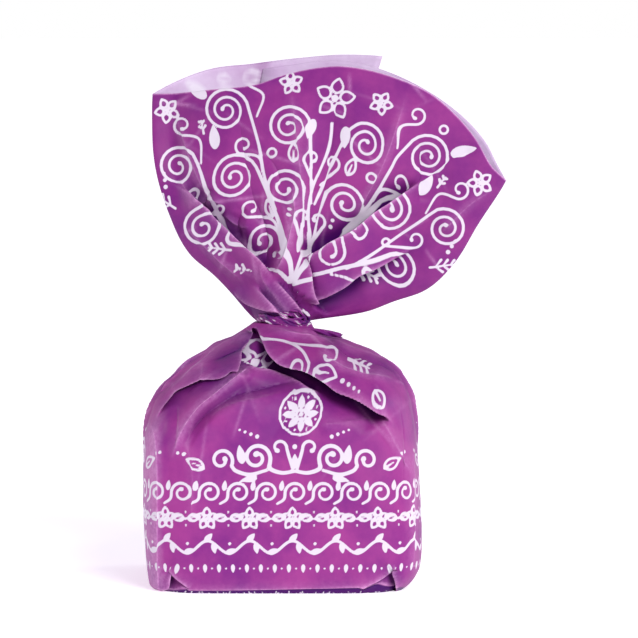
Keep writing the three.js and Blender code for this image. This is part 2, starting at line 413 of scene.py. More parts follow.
# The flap that comes down from the neck over the front, and the sunk paper under its edge, darkened with
# painted shade.
FLAP_EDGE = from_photo(
    (254, 323), (259, 333), (267, 344), (273, 353), (281, 361), (292, 364), (303, 366), (315, 371.5),
    (328, 379.5), (339, 388), (354, 394), (370, 403), (383, 413), (391, 424),
)
front.lap(
    FLAP_EDGE, height=2, high=8, low=4, lip=0.5, valley=3.8, hidden=2, ends=(0.2, 0.12), soft=0.24,
    dark=1,
)
FLAP_BEND = from_photo((283, 366))[0]
front.dent(FLAP_BEND, (1.6, 1.0), 1.2, turn=-30)
# The front panel's top edge stands over the pocket beside the flap, and the left flap over its other side.
POCKET_LIP = from_photo(
    (322, 394), (309, 389), (297, 381.5), (283, 376), (270, 371), (257, 368.5), (247, 364.5),
)
POCKET_SIDE = from_photo((235, 373), (238, 364), (242, 350), (248, 337), (252, 326))
front.lap(POCKET_LIP, height=0.7, high=3, low=3, lip=0.15, valley=1.0, hidden=0.5, ends=(0.12, 0.1), dark=0.9)
front.lap(POCKET_SIDE, height=1.2, high=4, low=2.4, lip=0.3, valley=1.2, hidden=1.0, ends=(0.1, 0.1))
# The gable: a rolled band from the pocket down to the left corner, with a valley inside it.
GABLE_RIDGE = from_photo((249, 366), (232, 379), (215, 393), (197, 408), (182, 430), (170, 462))
front.crease(GABLE_RIDGE, 1.5, 1.6, 2.2, ends=(0.05, 0.2))
GABLE_VALLEY = from_photo(
    (304, 384), (280, 385.5), (256, 391.5), (236, 396.5), (218, 406), (203, 418), (190, 434), (181, 450),
)
front.crease(GABLE_VALLEY, -1.3, 1.0, 2.4, ends=(0.1, 0.25), dark=0.6)
GABLE_FOOT = from_photo((285, 391), (256, 398), (236, 402), (219, 410), (206, 421))
front.crease(GABLE_FOOT, 0.35, 4, 0.9, ends=(0.3, 0.3))
# The left flap's lower edge, with a band between it and the gable that is sunk and darkened with painted
# shade.
LEFT_FLAP_EDGE = from_photo(
    (154, 424), (162, 407), (175, 391), (188, 383.5), (204, 379.5), (220, 377), (237, 367),
)
front.lap(
    LEFT_FLAP_EDGE, height=0.7, high=2, low=3.2, lip=0.15, valley=0.9, hidden=0.8, ends=(0.3, 0.12),
    dark=0.7,
)
LEFT_FLAP_RIDGE = from_photo((248, 326), (232, 336), (217, 345), (200, 361), (184, 374), (166, 392))
front.crease(LEFT_FLAP_RIDGE, 0.8, 1.2, 2)
LEFT_FLAP_VALLEY = from_photo((250, 330), (246, 338), (238, 348), (229, 354), (218, 359.5), (206, 363.5))
front.crease(LEFT_FLAP_VALLEY, -1.8, 1.6, 1.9, ends=(0.02, 0.3), soft=0.4, dark=1)
LEFT_FLAP_NICK = from_photo((202, 362), (201.5, 373), (196, 380))
front.crease(LEFT_FLAP_NICK, 0.4, 0.7, 0.7, ends=(0.1, 0.1))
UNDER_LEFT_FLAP = from_photo((176, 405), (177, 425), (174, 450))
front.crease(UNDER_LEFT_FLAP, -0.5, 1.2, 1.2)
# The right shoulder's long soft folds.
SHOULDER_RIDGE = from_photo((258, 320), (272, 324.5), (288, 330), (308, 334), (324, 337.5), (338, 345))
front.crease(SHOULDER_RIDGE, 0.8, 1.2, 1.8, ends=(0.1, 0.2))
SHOULDER_VALLEY = from_photo((322, 338), (333, 345), (346, 353.5), (362, 358), (378, 363.5), (402, 374))
front.crease(SHOULDER_VALLEY, -1.2, 1.5, 1.5, ends=(0.1, 0.15), dark=0.45)
for height, left_width, right_width, *pixels in (
    (0.5, 1.0, 1.2, (332, 338), (350, 344), (373, 349), (392, 360)),
    (0.8, 2.2, 3, (316, 349), (345, 364), (373, 372), (400, 379)),
    (0.5, 1.2, 1.6, (380, 418), (388, 430), (402, 456), (413, 476)),
    (0.25, 1.0, 2.2, (318, 425), (350, 421), (380, 418)),
    (0.22, 2.4, 1.6, (186, 440), (192, 480), (190, 530)),
    (-0.25, 1.6, 2, (398, 400), (404, 440), (402, 500)),
):
    front.crease(from_photo(*pixels), height, left_width, right_width)

# The upright corner at the left, and the parcel's tucked corners and the gap along the ground, both darkened
# with painted shade.
LEFT_CORNER = from_photo((149, 420), (155, 440), (157, 480), (157, 540), (158, 590))
front.crease(LEFT_CORNER, 0.55, 1.4, 3.5, ends=(0.2, 0.02))
RIGHT_CORNER = from_photo((413, 440), (415, 480), (415, 530), (413, 575))
front.crease(RIGHT_CORNER, 0.3, 2.5, 0.9, ends=(0.2, 0.1))
GROUND_GAP = from_photo(
    (162, 592), (176, 590.6), (210, 590.6), (250, 590.2), (290, 589.4), (350, 588.2), (398, 587.2),
)
front.lap(
    GROUND_GAP, height=0.12, high=0.5, low=9, lip=0.0, valley=0.12, hidden=0, ends=(0.02, 0.0), soft=0.1,
    dark=1,
)
LEFT_TUCK_EDGE = from_photo((155, 594), (163, 591), (168.7, 587), (167.8, 578), (171, 572))
front.lap(
    LEFT_TUCK_EDGE, height=0.35, high=2, low=1.9, lip=0.1, valley=1.3, hidden=0.3, ends=(0.0, 0.2),
    dark=0.8,
)
LEFT_TUCK_SLOPE = from_photo((167, 570), (175, 579), (190, 590))
front.lap(
    LEFT_TUCK_SLOPE, height=0.1, high=1, low=3, lip=0, valley=0.5, hidden=0, ends=(0.1, 0.1), soft=0.4,
    dark=0.45,
)
RIGHT_TUCK_EDGE = from_photo((397, 571), (394.4, 575), (395.3, 580), (396.3, 587.4), (397.2, 594))
front.lap(
    RIGHT_TUCK_EDGE, height=0.35, high=2, low=2.6, lip=0.1, valley=1.6, hidden=0.3, ends=(0.15, 0.0),
    dark=0.9,
)
RIGHT_TUCK_SLOPE = from_photo((360, 590), (380, 581), (398, 569))
front.lap(
    RIGHT_TUCK_SLOPE, height=0.1, high=1, low=3.5, lip=0, valley=0.6, hidden=0, ends=(0.1, 0.1), soft=0.4,
    dark=0.7,
)

# The back, with the sheet's lapped seam, and the two sides. Each is laid out in millimetres, as seen
# from there: across to the right, and up.
sides = [front]
for toward in ((0, 1, 0), (-1, 0, 0), (1, 0, 0)):
    across = np.array([-toward[1], toward[0], 0])
    facing = np.cos(angles - math.atan2(toward[1], toward[0]))
    low, high = (0.02, 0.35) if toward[1] else (0.75, 0.9)
    belongs = smoothstep(facing, low, high) * np.ones_like(body_points[..., 0])
    sides.append(Paper(np.stack([body_points @ across, body_points[..., 2]], -1), toward, belongs))
_, back, left_side, right_side = sides
back.lap(
    [(3.4, 0), (3.2, 6), (2.6, 14), (2.2, 20), (1.2, 26), (0.4, 30.5)],
    height=0.5, high=3, low=2, lip=0.2, valley=0.2, hidden=0, ends=(0, 0.1), soft=0.3,
)
for height, left_width, right_width, *line in (
    (1.2, 4.5, 0.8, (0.5, 30.8), (4, 28.6), (7.6, 25.2), (10, 20.6), (11, 15.5)),
    (1.1, 4.5, 0.8, (-11, 16), (-9.6, 21.4), (-7, 26), (-3.6, 29), (-0.8, 30.6)),
    (1.1, 1.6, 2.6, (0, 30.5), (-3, 25.5), (-5.5, 20), (-6.5, 15)),
    (-0.9, 1.5, 1.5, (0.6, 30.5), (6.4, 26.5), (10.8, 20.8)),
    (-0.8, 1.4, 1.4, (-1, 29.6), (1.6, 24), (2.4, 18)),
):
    back.crease(line, height, left_width, right_width, soft=0.5)
for side, mirror in ((left_side, 1), (right_side, -1)):
    for height, left_width, right_width, ends, *line in (
        (0.55, 1.8, 1.8, (0.15, 0.3), (0, 30), (1.2, 25.5), (3.5, 21), (6.5, 15)),
        (0.5, 1.8, 2.4, (0.15, 0.3), (0, 30), (-2.5, 25), (-5.5, 20), (-7.5, 14)),
        (-1.1, 1.8, 1.8, (0.15, 0.3), (0, 29), (-0.6, 24), (-0.8, 18)),
        (-0.5, 1.2, 1.6, (0.02, 0.3), (-9.5, 0.4), (-3, 5.6), (0, 7.4)),
        (-0.5, 1.2, 1.6, (0.02, 0.3), (9.5, 0.4), (3.4, 5.2), (0, 7.4)),
    ):
        line = [(mirror * x, z) for x, z in line]
        side.crease(line, height, left_width, right_width, ends=ends, soft=0.5)

# The left shoulder turns away to the left.
LEFT_SHOULDER_DENT = from_photo((186, 372))[0]
front.dent(LEFT_SHOULDER_DENT, (4.2, 3.2), 1.5, turn=38)
UPPER_SHOULDER_DENT = from_photo((214, 348))[0]
front.dent(UPPER_SHOULDER_DENT, (3.2, 2.0), 0.9, turn=38)

# Small crumples on the upper half, on each side its own.
body_lift, body_rub = crumple(
    front.spots, seed=7, count=60, radiate_from=np.array([0, 33]), low=(-16, 8), high=(16, 31), depth=0.11,
)
for seed, side in ((13, back), (17, left_side), (19, right_side)):
    side_lift, side_rub = crumple(
        side.spots, seed, count=40, radiate_from=np.array([0, 31]), low=(-15, 9), high=(15, 29), depth=0.16,
    )
    body_lift += side_lift * side.reach
    body_rub += side_rub * side.reach
upper = smoothstep(body_points[..., 2], 8, 22)
body_moves = sum(side.moved(body_normals) for side in sides)
body_moves[..., 2] *= smoothstep(body_points[..., 2], 0, 0.7)  # the foot stays on the ground
body_shape = body_points + body_moves + (body_lift * upper)[..., None] * body_normals
body_wear = sum(side.wear for side in sides) + body_rub * upper
# The upright corners are paled with a painted grazing reflection, those on the left the most.
to_corner = np.abs(body_points[..., 0]) + np.abs(body_points[..., 1])
at_side = smoothstep(np.abs(body_normals[..., 0]), 0.5, 0.85) * smoothstep(to_corner, 22, 30)
LEFT_SHEEN, RIGHT_SHEEN = 0.5, 0.06
below_shoulder = smoothstep(-body_points[..., 2], -24, -18)
body_wear += np.where(body_points[..., 0] < 0, LEFT_SHEEN, RIGHT_SHEEN) * at_side * below_shoulder
body_painted_shade = np.maximum.reduce([side.painted_shade for side in sides])
body_bare = np.maximum.reduce([side.bare for side in sides])


def closed_mesh(name, points):
    """A closed mesh from a grid of points whose columns meet, with a point in each end's middle."""
    rows, columns = points.shape[:2]
    vertices = np.concatenate([points.reshape(-1, 3), [points[0].mean(0), points[-1].mean(0)]])
    here = np.arange(rows * columns).reshape(rows, columns)
    right = np.roll(here, -1, 1)
    quads = np.stack([here[:-1], right[:-1], right[1:], here[1:]], -1).reshape(-1, 4)
    low_fan = np.stack([np.full(columns, rows * columns), right[0], here[0]], -1)
    high_fan = np.stack([np.full(columns, rows * columns + 1), here[-1], right[-1]], -1)
    mesh = bpy.data.meshes.new(name)
    mesh.from_pydata(vertices * MM, [], quads.tolist() + low_fan.tolist() + high_fan.tolist())
    mesh.polygons.foreach_set("use_smooth", [True] * len(mesh.polygons))
    return mesh


def carry(mesh, name, values):
    """Gives each of a mesh's points a value that its material can read."""
    padded = np.zeros(len(mesh.vertices))
    padded[: values.size] = values.ravel()
    mesh.attributes.new(name, "FLOAT", "POINT").data.foreach_set("value", padded)


# The print is made of lines, each with half its width at every point.
PRINT_LINE = 0.155
FINE_LINE = 0.14
NO_PRINT = 0.8  # a distance from the nearest print at which none shows


def heading(degrees):
    """The direction that lies degrees from upright, to the right."""
    angle = np.radians(degrees)
    return np.stack([np.sin(angle), np.cos(angle)], -1)


def stroke(start, end, first, last):
    return np.stack([start, end]), np.array([first, last])


def curl(start, via, middle, radius, entry, side, width=PRINT_LINE, pitch=0.95, root=0.9):
    """A stem from start that winds into a scroll round middle: clockwise where side is 1.

    It joins the scroll at entry degrees round it, and each turn lies pitch inside the last.
    """
    turns = (radius - 0.42) / pitch
    wound = np.linspace(0, turns, max(8, int(turns * 22)))
    scroll = np.asarray(middle) + (radius - pitch * wound)[:, None] * heading(entry + side * 360 * wound)
    line = np.concatenate([curved([start, *via, scroll[0]])[:-1], scroll])
    widths = width * np.interp(np.linspace(0, 1, len(line)), (0, 0.3, 1), (root, 1.15, 0.85))
    widths[-2:] = width * 1.5
    return line, widths


def leaf(place, toward, length, width):
    share = np.linspace(0, 1, 12)
    line = np.asarray(place) + (share * length)[:, None] * heading(toward)
    return line, 0.06 + width * np.sin(math.pi * share**0.75) ** 0.9 * (1 - 0.25 * share)


def open_leaf(place, toward, length, width):
    """A leaf in outline, and its midrib."""
    share = np.linspace(0, 1, 14)
    along = np.asarray(place) + (share * length)[:, None] * heading(toward)
    wide = (width * np.sin(math.pi * share**0.8) ** 0.85)[:, None] * heading(toward + 90)
    edge = np.concatenate([along + wide, (along - wide)[::-1]])
    return [(edge, np.full(len(edge), FINE_LINE)), (along[:9], np.linspace(0.16, 0.08, 9))]


def dot(place, radius):
    place = np.asarray(place, float)
    return stroke(place, place + 0.01, radius, radius)


def ring(place, radius):
    return np.asarray(place) + radius * heading(np.linspace(0, 360, 15)), np.full(15, FINE_LINE)


def beads(start, toward, count, size, gap):
    steps = np.arange(count) * (1 - 0.03 * np.arange(count))
    return [dot(start + step * gap * heading(toward), size * (1 - 0.12 * i)) for i, step in enumerate(steps)]


def blossom(place, size, turn=0):
    """Five petals in outline round a dot."""
    shapes = [dot(place, size * 0.2)]
    for away in turn + 72 * np.arange(5):
        petal, _ = open_leaf(place + 0.3 * size * heading(away), away, size * 0.85, size * 0.33)
        shapes.append(petal)
    return shapes


def sprig(place, toward, length, pairs):
    """A midrib with short slanting strokes on both sides."""
    place = np.asarray(place, float)
    tip = place + length * heading(toward)
    shapes = [stroke(place, tip, 0.15, 0.08)]
    for i in range(pairs):
        foot = mix(place, tip, (i + 0.7) / (pairs + 0.3))
        reach = length * 0.36 * (1 - 0.5 * i / pairs)
        for side in (-1, 1):
            shapes.append(stroke(foot, foot + reach * heading(toward + side * 42), 0.07, 0.17))
    return shapes


def ink_at(spots, shapes):
    """How far each spot is from the nearest printed shape, in millimetres; negative inside it."""
    flat = spots.reshape(-1, 2)
    ink = np.full(len(flat), NO_PRINT)
    for line, widths in shapes:
        margin = widths.max() + NO_PRINT
        near = np.nonzero(np.all((flat > line.min(0) - margin) & (flat < line.max(0) + margin), axis=1))[0]
        chosen = flat[near]
        for a, b, wide_a, wide_b in zip(line[:-1], line[1:], widths[:-1], widths[1:]):
            step = b - a
            away = chosen - a
            share = np.clip(away @ step / (step @ step), 0, 1)
            gap = np.linalg.norm(away - share[:, None] * step, axis=-1) - mix(wide_a, wide_b, share)
            ink[near] = np.minimum(ink[near], gap)
    return ink.reshape(spots.shape[:-1])


def lifted_off(ink, share):
    """Takes the print away where share is 1, and leaves it where it is 0."""
    return np.maximum(ink, mix(-1, 0.3, share))


def spray(middle, side):
    """Half of the pair of scrolled sprays that stand under the rosette."""

    def at(x, z):
        return np.array([middle[0] + side * x, middle[1] + z])

    shapes = []
    for start, via, whorl, radius, entry, width, pitch in (
        (at(0, -0.5), [at(1.6, -0.7), at(3, -0.2)], at(4.6, 1.1), 1.7, -110, 0.22, 0.95),
        (at(3.4, -0.4), [at(5.4, -0.9), at(7, -0.5)], at(8.8, 0.8), 1.4, -120, 0.2, 0.85),
        (at(0.3, -0.2), [at(0.7, 1.2)], at(1.9, 2.3), 0.95, -100, 0.18, 0.75),
    ):
        shapes.append(curl(start, via, whorl, radius, side * entry, side, width, pitch))
    return shapes + [
        leaf(at(6.3, 0.5), side * 12, 2.1, 0.5),
        leaf(at(4.6, -1.3), side * 100, 1.9, 0.36),
        *open_leaf(at(10.9, -0.2), side * 62, 2.4, 0.6),
        *beads(at(13.4, 1.5), side * 80, 2, 0.24, 0.75),
        *beads(at(4.6, 3.6), side * 70, 4, 0.26, 0.85),
    ]


def rosette(middle, size):
    shapes = [dot(middle, size * 0.14), ring(middle, size * 0.3), ring(middle, size * 1.32)]
    for away in 45 * np.arange(8):
        shapes.append(leaf(middle + heading(away) * size * 0.42, away, size * 0.66, size * 0.2))
        shapes.append(dot(middle + heading(away + 22.5) * size * 1.02, 0.15))
    return shapes


def running_scroll(x, step, z):
    """One wave of a running scroll."""
    start, bend = (x - step * 0.66, z - 1.3), (x - step * 0.42, z - 0.75)
    return [
        curl(start, [bend], (x, z), 1.3, -80, 1, width=0.16, pitch=0.72),
        leaf((x - step * 0.52, z + 0.35), 8, 1.1, 0.27),
    ]


def flower_and_leaves(x, step, z):
    shapes = blossom((x - step / 4, z), 1.15)
    for side in (-1, 1):
        shapes += open_leaf((x + step / 4 + side * 0.25, z), side * 78, 1.5, 0.42)
    return shapes + [dot((x + step / 4, z + rise), 0.15) for rise in (-0.8, 0, 0.8)]


def wave_vine(x, step, z):
    """One wave of a vine, with a curl or a leaf on each bend."""
    share = np.linspace(0, 1, 26)
    line = np.stack([x + (share - 0.5) * step, z + 0.75 * np.sin(math.tau * share)], -1)
    return [
        (line, np.full(26, 0.17)),
        leaf((x - step * 0.3, z + 0.7), 42, 1.2, 0.34),
        leaf((x + step * 0.2, z - 0.7), 70, 1.2, 0.34),
        leaf((x - step * 0.12, z + 0.35), 170, 1.1, 0.3),
        dot((x + step * 0.27, z + 0.4), 0.2),
    ]


def small_drops(x, step, z):
    return [leaf((x, z + 0.45), 180, 0.9, 0.22), dot((x + step / 2, z), 0.14)]


# The walls' print is laid out along the wall: how far round it from the middle of the front, and up.
wall_ring = wall_points(angles[0], MID_WALL)
ring_steps = np.linalg.norm(wall_ring - np.roll(wall_ring, 1, 0), axis=-1)
girth = ring_steps.sum()
round_wall = np.cumsum(ring_steps)
round_wall -= np.interp(-math.pi / 2, angles[0], round_wall)
round_wall = (round_wall + girth / 2) % girth - girth / 2
wall_spots = np.stack(np.broadcast_arrays(round_wall[None, :], body_points[..., 2]), -1)
bands = []
for pattern, height, count in (
    (running_scroll, 12.1, 36), (flower_and_leaves, 9, 24), (wave_vine, 5.6, 24), (small_drops, 3, 72),
):
    step = girth / count
    for i in range(-1, count + 1):
        bands += pattern(-girth / 2 + (i + 0.5) * step, step, height)
body_ink = ink_at(wall_spots, bands)
# The same sprays stand on all four sides.
SPRAYS = (1.6, 15.2)
spray_shapes = spray(SPRAYS, 1) + spray(SPRAYS, -1) + [leaf((1.6, 15.1), 0, 1.6, 0.4), dot((1.6, 17.6), 0.3)]
for quarter in range(4):
    turned = (round_wall - quarter * girth / 4 + girth / 2) % girth - girth / 2
    side_spots = np.stack(np.broadcast_arrays(turned[None, :], body_points[..., 2]), -1)
    body_ink = np.minimum(body_ink, ink_at(side_spots, spray_shapes))
# Higher up on the front stand a rosette and loose scrolls and leaves.
front_shapes = rosette(np.array([1.9, 21.0]), 1.75)
front_shapes += [
    curl((-1.6, 31), [(0.6, 30.6), (2.6, 29.6)], (2.4, 27.9), 1.3, 75, 1, width=0.14, pitch=0.75),
    curl((1, 30.4), [(3.6, 30.1)], (5.8, 28.8), 1, -20, 1, width=0.13, pitch=0.7),
    *open_leaf((4.4, 27.6), 118, 2.6, 0.75),
    *sprig((8, 28.4), 112, 2.8, 3),
    *beads(np.array([7.4, 25.9]), 122, 4, 0.26, 0.85),
    *open_leaf((11.2, 24.6), 150, 2.2, 0.6),
]
for i in range(44):
    # Under the panel's lower edge a strip of the flap behind it shows the tips of its print.
    tip = np.array([-12.8 + 0.62 * i + 0.3 * math.sin(5 * i), 0.05])
    end = tip + (0.12 * math.sin(7 * i), 0.1 + 0.12 * math.cos(4 * i))
    front_shapes.append(stroke(tip, end, 0.07, 0.07))
print_spots = front.spots + front.hidden
front_ink = ink_at(print_spots, front_shapes)
# The pocket shows a blossom of the layer inside it.
in_pocket = np.maximum(*(beside(front.spots, curved(edge))[0] for edge in (POCKET_LIP, POCKET_SIDE))) < 0
pocket_ink = ink_at(print_spots, blossom((-3.5, 27.2), 2.1, 10))
front_ink = np.minimum(front_ink, np.where(in_pocket, pocket_ink, NO_PRINT))
body_ink = np.minimum(body_ink, np.where(front.reach > 0.3, front_ink, NO_PRINT))
body_ink = lifted_off(body_ink, smoothstep(body_bare, 0.3, 0.7))

# Underneath, the sides' flaps are folded in first, then the front's, then the back's over them.
FLAP_STEP = 0.3  # how much higher the next flap under it lies
BASE_HALF = 16
base_shares = np.linspace(0.04, 0.985, 20)[:, None, None]
base_rows = body_shape[:1] * base_shares
u, v = base_rows[..., 0] / BASE_HALF, base_rows[..., 1] / BASE_HALF
back_flap = np.minimum(v + 0.18, 1.3 - np.abs(u) * 1.35 + (v - 1) * 0.85)
front_flap = np.minimum(-v + 0.3, 1.3 - np.abs(u) * 1.35 - (v + 1) * 0.85)
both_flaps = np.maximum(front_flap, back_flap)
tucked = sum(FLAP_STEP * (1 - smoothstep(flaps, -0.02, 0.02)) for flaps in (back_flap, both_flaps))
base_rows[..., 2] = tucked * smoothstep(base_shares[..., 0], 1, 0.93)
body_mesh = closed_mesh("wrapper_body", np.concatenate([base_rows, body_shape]))
underside = np.zeros_like(base_rows[..., 0])
carry(body_mesh, "wear", np.concatenate([underside, body_wear]))
carry(body_mesh, "painted_shade", np.concatenate([underside, body_painted_shade]))
carry(body_mesh, "print", np.concatenate([underside + NO_PRINT, body_ink]))


def srgb(red, green, blue):
    """A colour given as on a screen, 0 to 255, as the renderer's own."""
    parts = [((v / 255 + 0.055) / 1.055) ** 2.4 if v > 10 else v / 3294.6 for v in (red, green, blue)]
    return (*parts, 1)


PURPLE = srgb(146, 51, 128)
DEEP_PURPLE = srgb(114, 28, 116)
# Paler for rubbed ridges and for the painted grazing reflection on the body's corners.
WORN_AND_SHEEN_PURPLE = srgb(206, 150, 198)
# The colour that painted shade darkens the paper towards.
PAINTED_SHADE_PURPLE = srgb(60, 0, 86)
PRINT_WHITE = srgb(206, 199, 209)


def node(tree, kind, inputs=None, **settings):
    """Adds a node to a tree. An input's value is a number or colour, or another node's socket."""
    made = tree.nodes.new(kind)
    for name, value in settings.items():
        setattr(made, name, value)
    for name, value in (inputs or {}).items():
        if isinstance(value, bpy.types.NodeSocket):
            tree.links.new(value, made.inputs[name])
        else:
            made.inputs[name].default_value = value
    return made


def blend(tree, share, first, second):
    """A mix of two colours, each a socket or a colour."""
    return node(tree, "ShaderNodeMix", {0: share, 6: first, 7: second}, data_type="RGBA").outputs[2]


def paper_grain():
    """The paper's own unevenness: a soft mottle of its colour, and the fibres and crumples in its face."""
    tree = bpy.data.node_groups.new("paper_grain", "ShaderNodeTree")
    for name in ("Mottle", "Height"):
        tree.interface.new_socket(name, in_out="OUTPUT", socket_type="NodeSocketFloat")
    place = node(tree, "ShaderNodeTexCoord").outputs["Object"]
    mottle = node(tree, "ShaderNodeTexNoise", {"Vector": place, "Scale": 120, "Detail": 6, "Roughness": 0.62})
    spread = node(
        tree, "ShaderNodeMapRange", {"Value": mottle.outputs["Fac"], "From Min": 0.34, "From Max": 0.62},
    )
    fibres = node(tree, "ShaderNodeTexNoise", {"Vector": place, "Scale": 2600, "Detail": 4})
    crumples = node(
        tree, "ShaderNodeTexNoise",
        {"Vector": place, "Scale": 260, "Detail": 3, "Roughness": 0.45, "Distortion": 0.4},
        noise_type="RIDGED_MULTIFRACTAL",
    )
    fine = node(tree, "ShaderNodeMath", {0: fibres.outputs["Fac"], 1: 0.12}, operation="MULTIPLY")
    height = node(tree, "ShaderNodeMath", {0: crumples.outputs["Fac"], 1: fine.outputs[0]}, operation="ADD")
    result = tree.nodes.new("NodeGroupOutput")
    tree.links.new(spread.outputs[0], result.inputs["Mottle"])
    tree.links.new(height.outputs[0], result.inputs["Height"])
    return tree


def fold_wear_and_painted_light():
    """Paler where rubbed along the ridges and where a grazing reflection is painted on the body's corners,
    darker with painted shade in the folds.
    """
    tree = bpy.data.node_groups.new("fold_wear_and_painted_light", "ShaderNodeTree")
    for name in ("Color", "Worn And Sheen", "Painted Shade"):
        tree.interface.new_socket(name, in_out="INPUT", socket_type="NodeSocketColor")
    tree.interface.new_socket("Color", in_out="OUTPUT", socket_type="NodeSocketColor")
    given = tree.nodes.new("NodeGroupInput")
    painted_shade = node(tree, "ShaderNodeAttribute", attribute_name="painted_shade")
    wear = node(tree, "ShaderNodeAttribute", attribute_name="wear")
    place = node(tree, "ShaderNodeTexCoord").outputs["Object"]
    flecks = node(tree, "ShaderNodeTexNoise", {"Vector": place, "Scale": 1900, "Detail": 3, "Roughness": 0.7})
    patchy = node(
        tree, "ShaderNodeMapRange",
        {"Value": flecks.outputs["Fac"], "From Min": 0.3, "From Max": 0.72, "To Min": 0.3, "To Max": 0.85},
    )
    rubbed = node(
        tree, "ShaderNodeMath", {0: wear.outputs["Fac"], 1: patchy.outputs[0]},
        operation="MULTIPLY", use_clamp=True,
    )
    shaded = blend(tree, painted_shade.outputs["Fac"], given.outputs["Color"], given.outputs["Painted Shade"])
    worn_and_sheen = blend(tree, rubbed.outputs[0], shaded, given.outputs["Worn And Sheen"])
    result = tree.nodes.new("NodeGroupOutput")
    tree.links.new(worn_and_sheen, result.inputs[0])
    return tree


GRAIN = paper_grain()
FOLD_WEAR_AND_PAINTED_LIGHT = fold_wear_and_painted_light()


def paper_material(name, ground, second_ground, worn_and_sheen, painted_shade_colour, ink, sharpness, roughness, specular):
    """Waxed paper: two close grounds mottled together, paler along rubbed ridges and with a painted grazing
    reflection, darker with painted shade in the folds, and the print over them.
    """
    material = bpy.data.materials.new(name)
    material.use_nodes = True
    tree = material.node_tree
    look = tree.nodes["Principled BSDF"]
    grain = node(tree, "ShaderNodeGroup", node_tree=GRAIN)
    marked = node(tree, "ShaderNodeGroup", node_tree=FOLD_WEAR_AND_PAINTED_LIGHT)
    tree.links.new(blend(tree, grain.outputs["Mottle"], ground, second_ground), marked.inputs["Color"])
    marked.inputs["Worn And Sheen"].default_value = worn_and_sheen
    marked.inputs["Painted Shade"].default_value = painted_shade_colour
    print_distance = node(tree, "ShaderNodeAttribute", attribute_name="print")
    inked = node(
        tree, "ShaderNodeMapRange",
        {"Value": print_distance.outputs["Fac"], "From Min": sharpness, "From Max": -sharpness},
    )
    tree.links.new(blend(tree, inked.outputs[0], marked.outputs[0], ink), look.inputs["Base Color"])
    bump = node(
        tree, "ShaderNodeBump", {"Height": grain.outputs["Height"], "Strength": 0.35, "Distance": 0.00012},
    )
    tree.links.new(bump.outputs["Normal"], look.inputs["Normal"])
    look.inputs["Roughness"].default_value = roughness
    look.inputs["Specular IOR Level"].default_value = specular
    return material


printed_paper = paper_material(
    "printed_waxed_paper", DEEP_PURPLE, PURPLE, worn_and_sheen=WORN_AND_SHEEN_PURPLE, painted_shade_colour=PAINTED_SHADE_PURPLE, ink=PRINT_WHITE,
    sharpness=0.03, roughness=0.5, specular=0.2,
)
body_mesh.materials.append(printed_paper)

body = shown("wrapper_body", body_mesh)
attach(body, "root")
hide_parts("wrapped_truffle")

# ---- The tuft ------------------------------------------------------------------------------------
# Above the neck the same sheet fans out in a flattened funnel. It is one strip of thin paper: from
# a free edge at the back, round the left crease, across the front, round the right crease and back
# behind the front, where its other free edge lies inside the first. Its reverse is unprinted.
TUFT_CENTRE = (0.2, 31.6)
PAPER = 0.14  # how thick the strip is
CREASE_BEND = 0.2  # how far the bend at each crease stands out
BEND_TURN = 0.1  # and how much of the turn it takes, to either side
LAYER_GAP = 0.35  # between the strip's inner end and the paper outside it
NECK_SHARE, FAN_SHARE = 0.105, 0.34  # the strip leaves the neck at the first and is all fan from the second
LEFT_CREASE, RIGHT_CREASE = math.pi, 2 * math.pi
OUTER_EDGE, INNER_EDGE = 0.58, 0.287  # where the free edges lie, as shares across the back
# How the two creases lean, in degrees from upright, over the share of the way from the knot to the rim.
left_ray = through(
    (0.1, -86), (0.17, -72), (0.27, -58.5), (0.44, -54.4), (0.6, -46.8), (0.78, -39.1), (0.9, -33.8),
    (1, -29.9),
)
right_ray = through((0.1, 84), (0.28, 84), (0.42, 79.7), (0.55, 77.4), (0.67, 71.7), (0.82, 63.4), (1, 57.3))
# How far the rim is from the knot, over the share of the way from the left crease to the right one.
front_reach = through(
    (0, 31.8), (0.05, 30.5), (0.155, 29.3), (0.26, 28.9), (0.35, 30), (0.43, 31.1), (0.5, 31.9),
    (0.63, 32.6), (0.71, 32.9), (0.79, 32.6), (0.87, 32.1), (0.95, 31.4), (1, 31.9),
)
outer_reach = through((0, 31.8), (0.15, 31.7), (0.26, 31.2), (0.38, 31.7), (0.49, 32.9), (0.58, 34.1))
inner_reach = through(
    (0.28, 30.4), (0.37, 30.9), (0.45, 31.8), (0.52, 32.3), (0.6, 32.6), (0.8, 32.9), (0.9, 32.7),
    (0.96, 32.1), (1, 31.9),
)
mouth_depth = through((0, 2.6), (0.2, 3.6), (0.45, 4.6), (1, 6.4))  # half the funnel's depth, up its middle


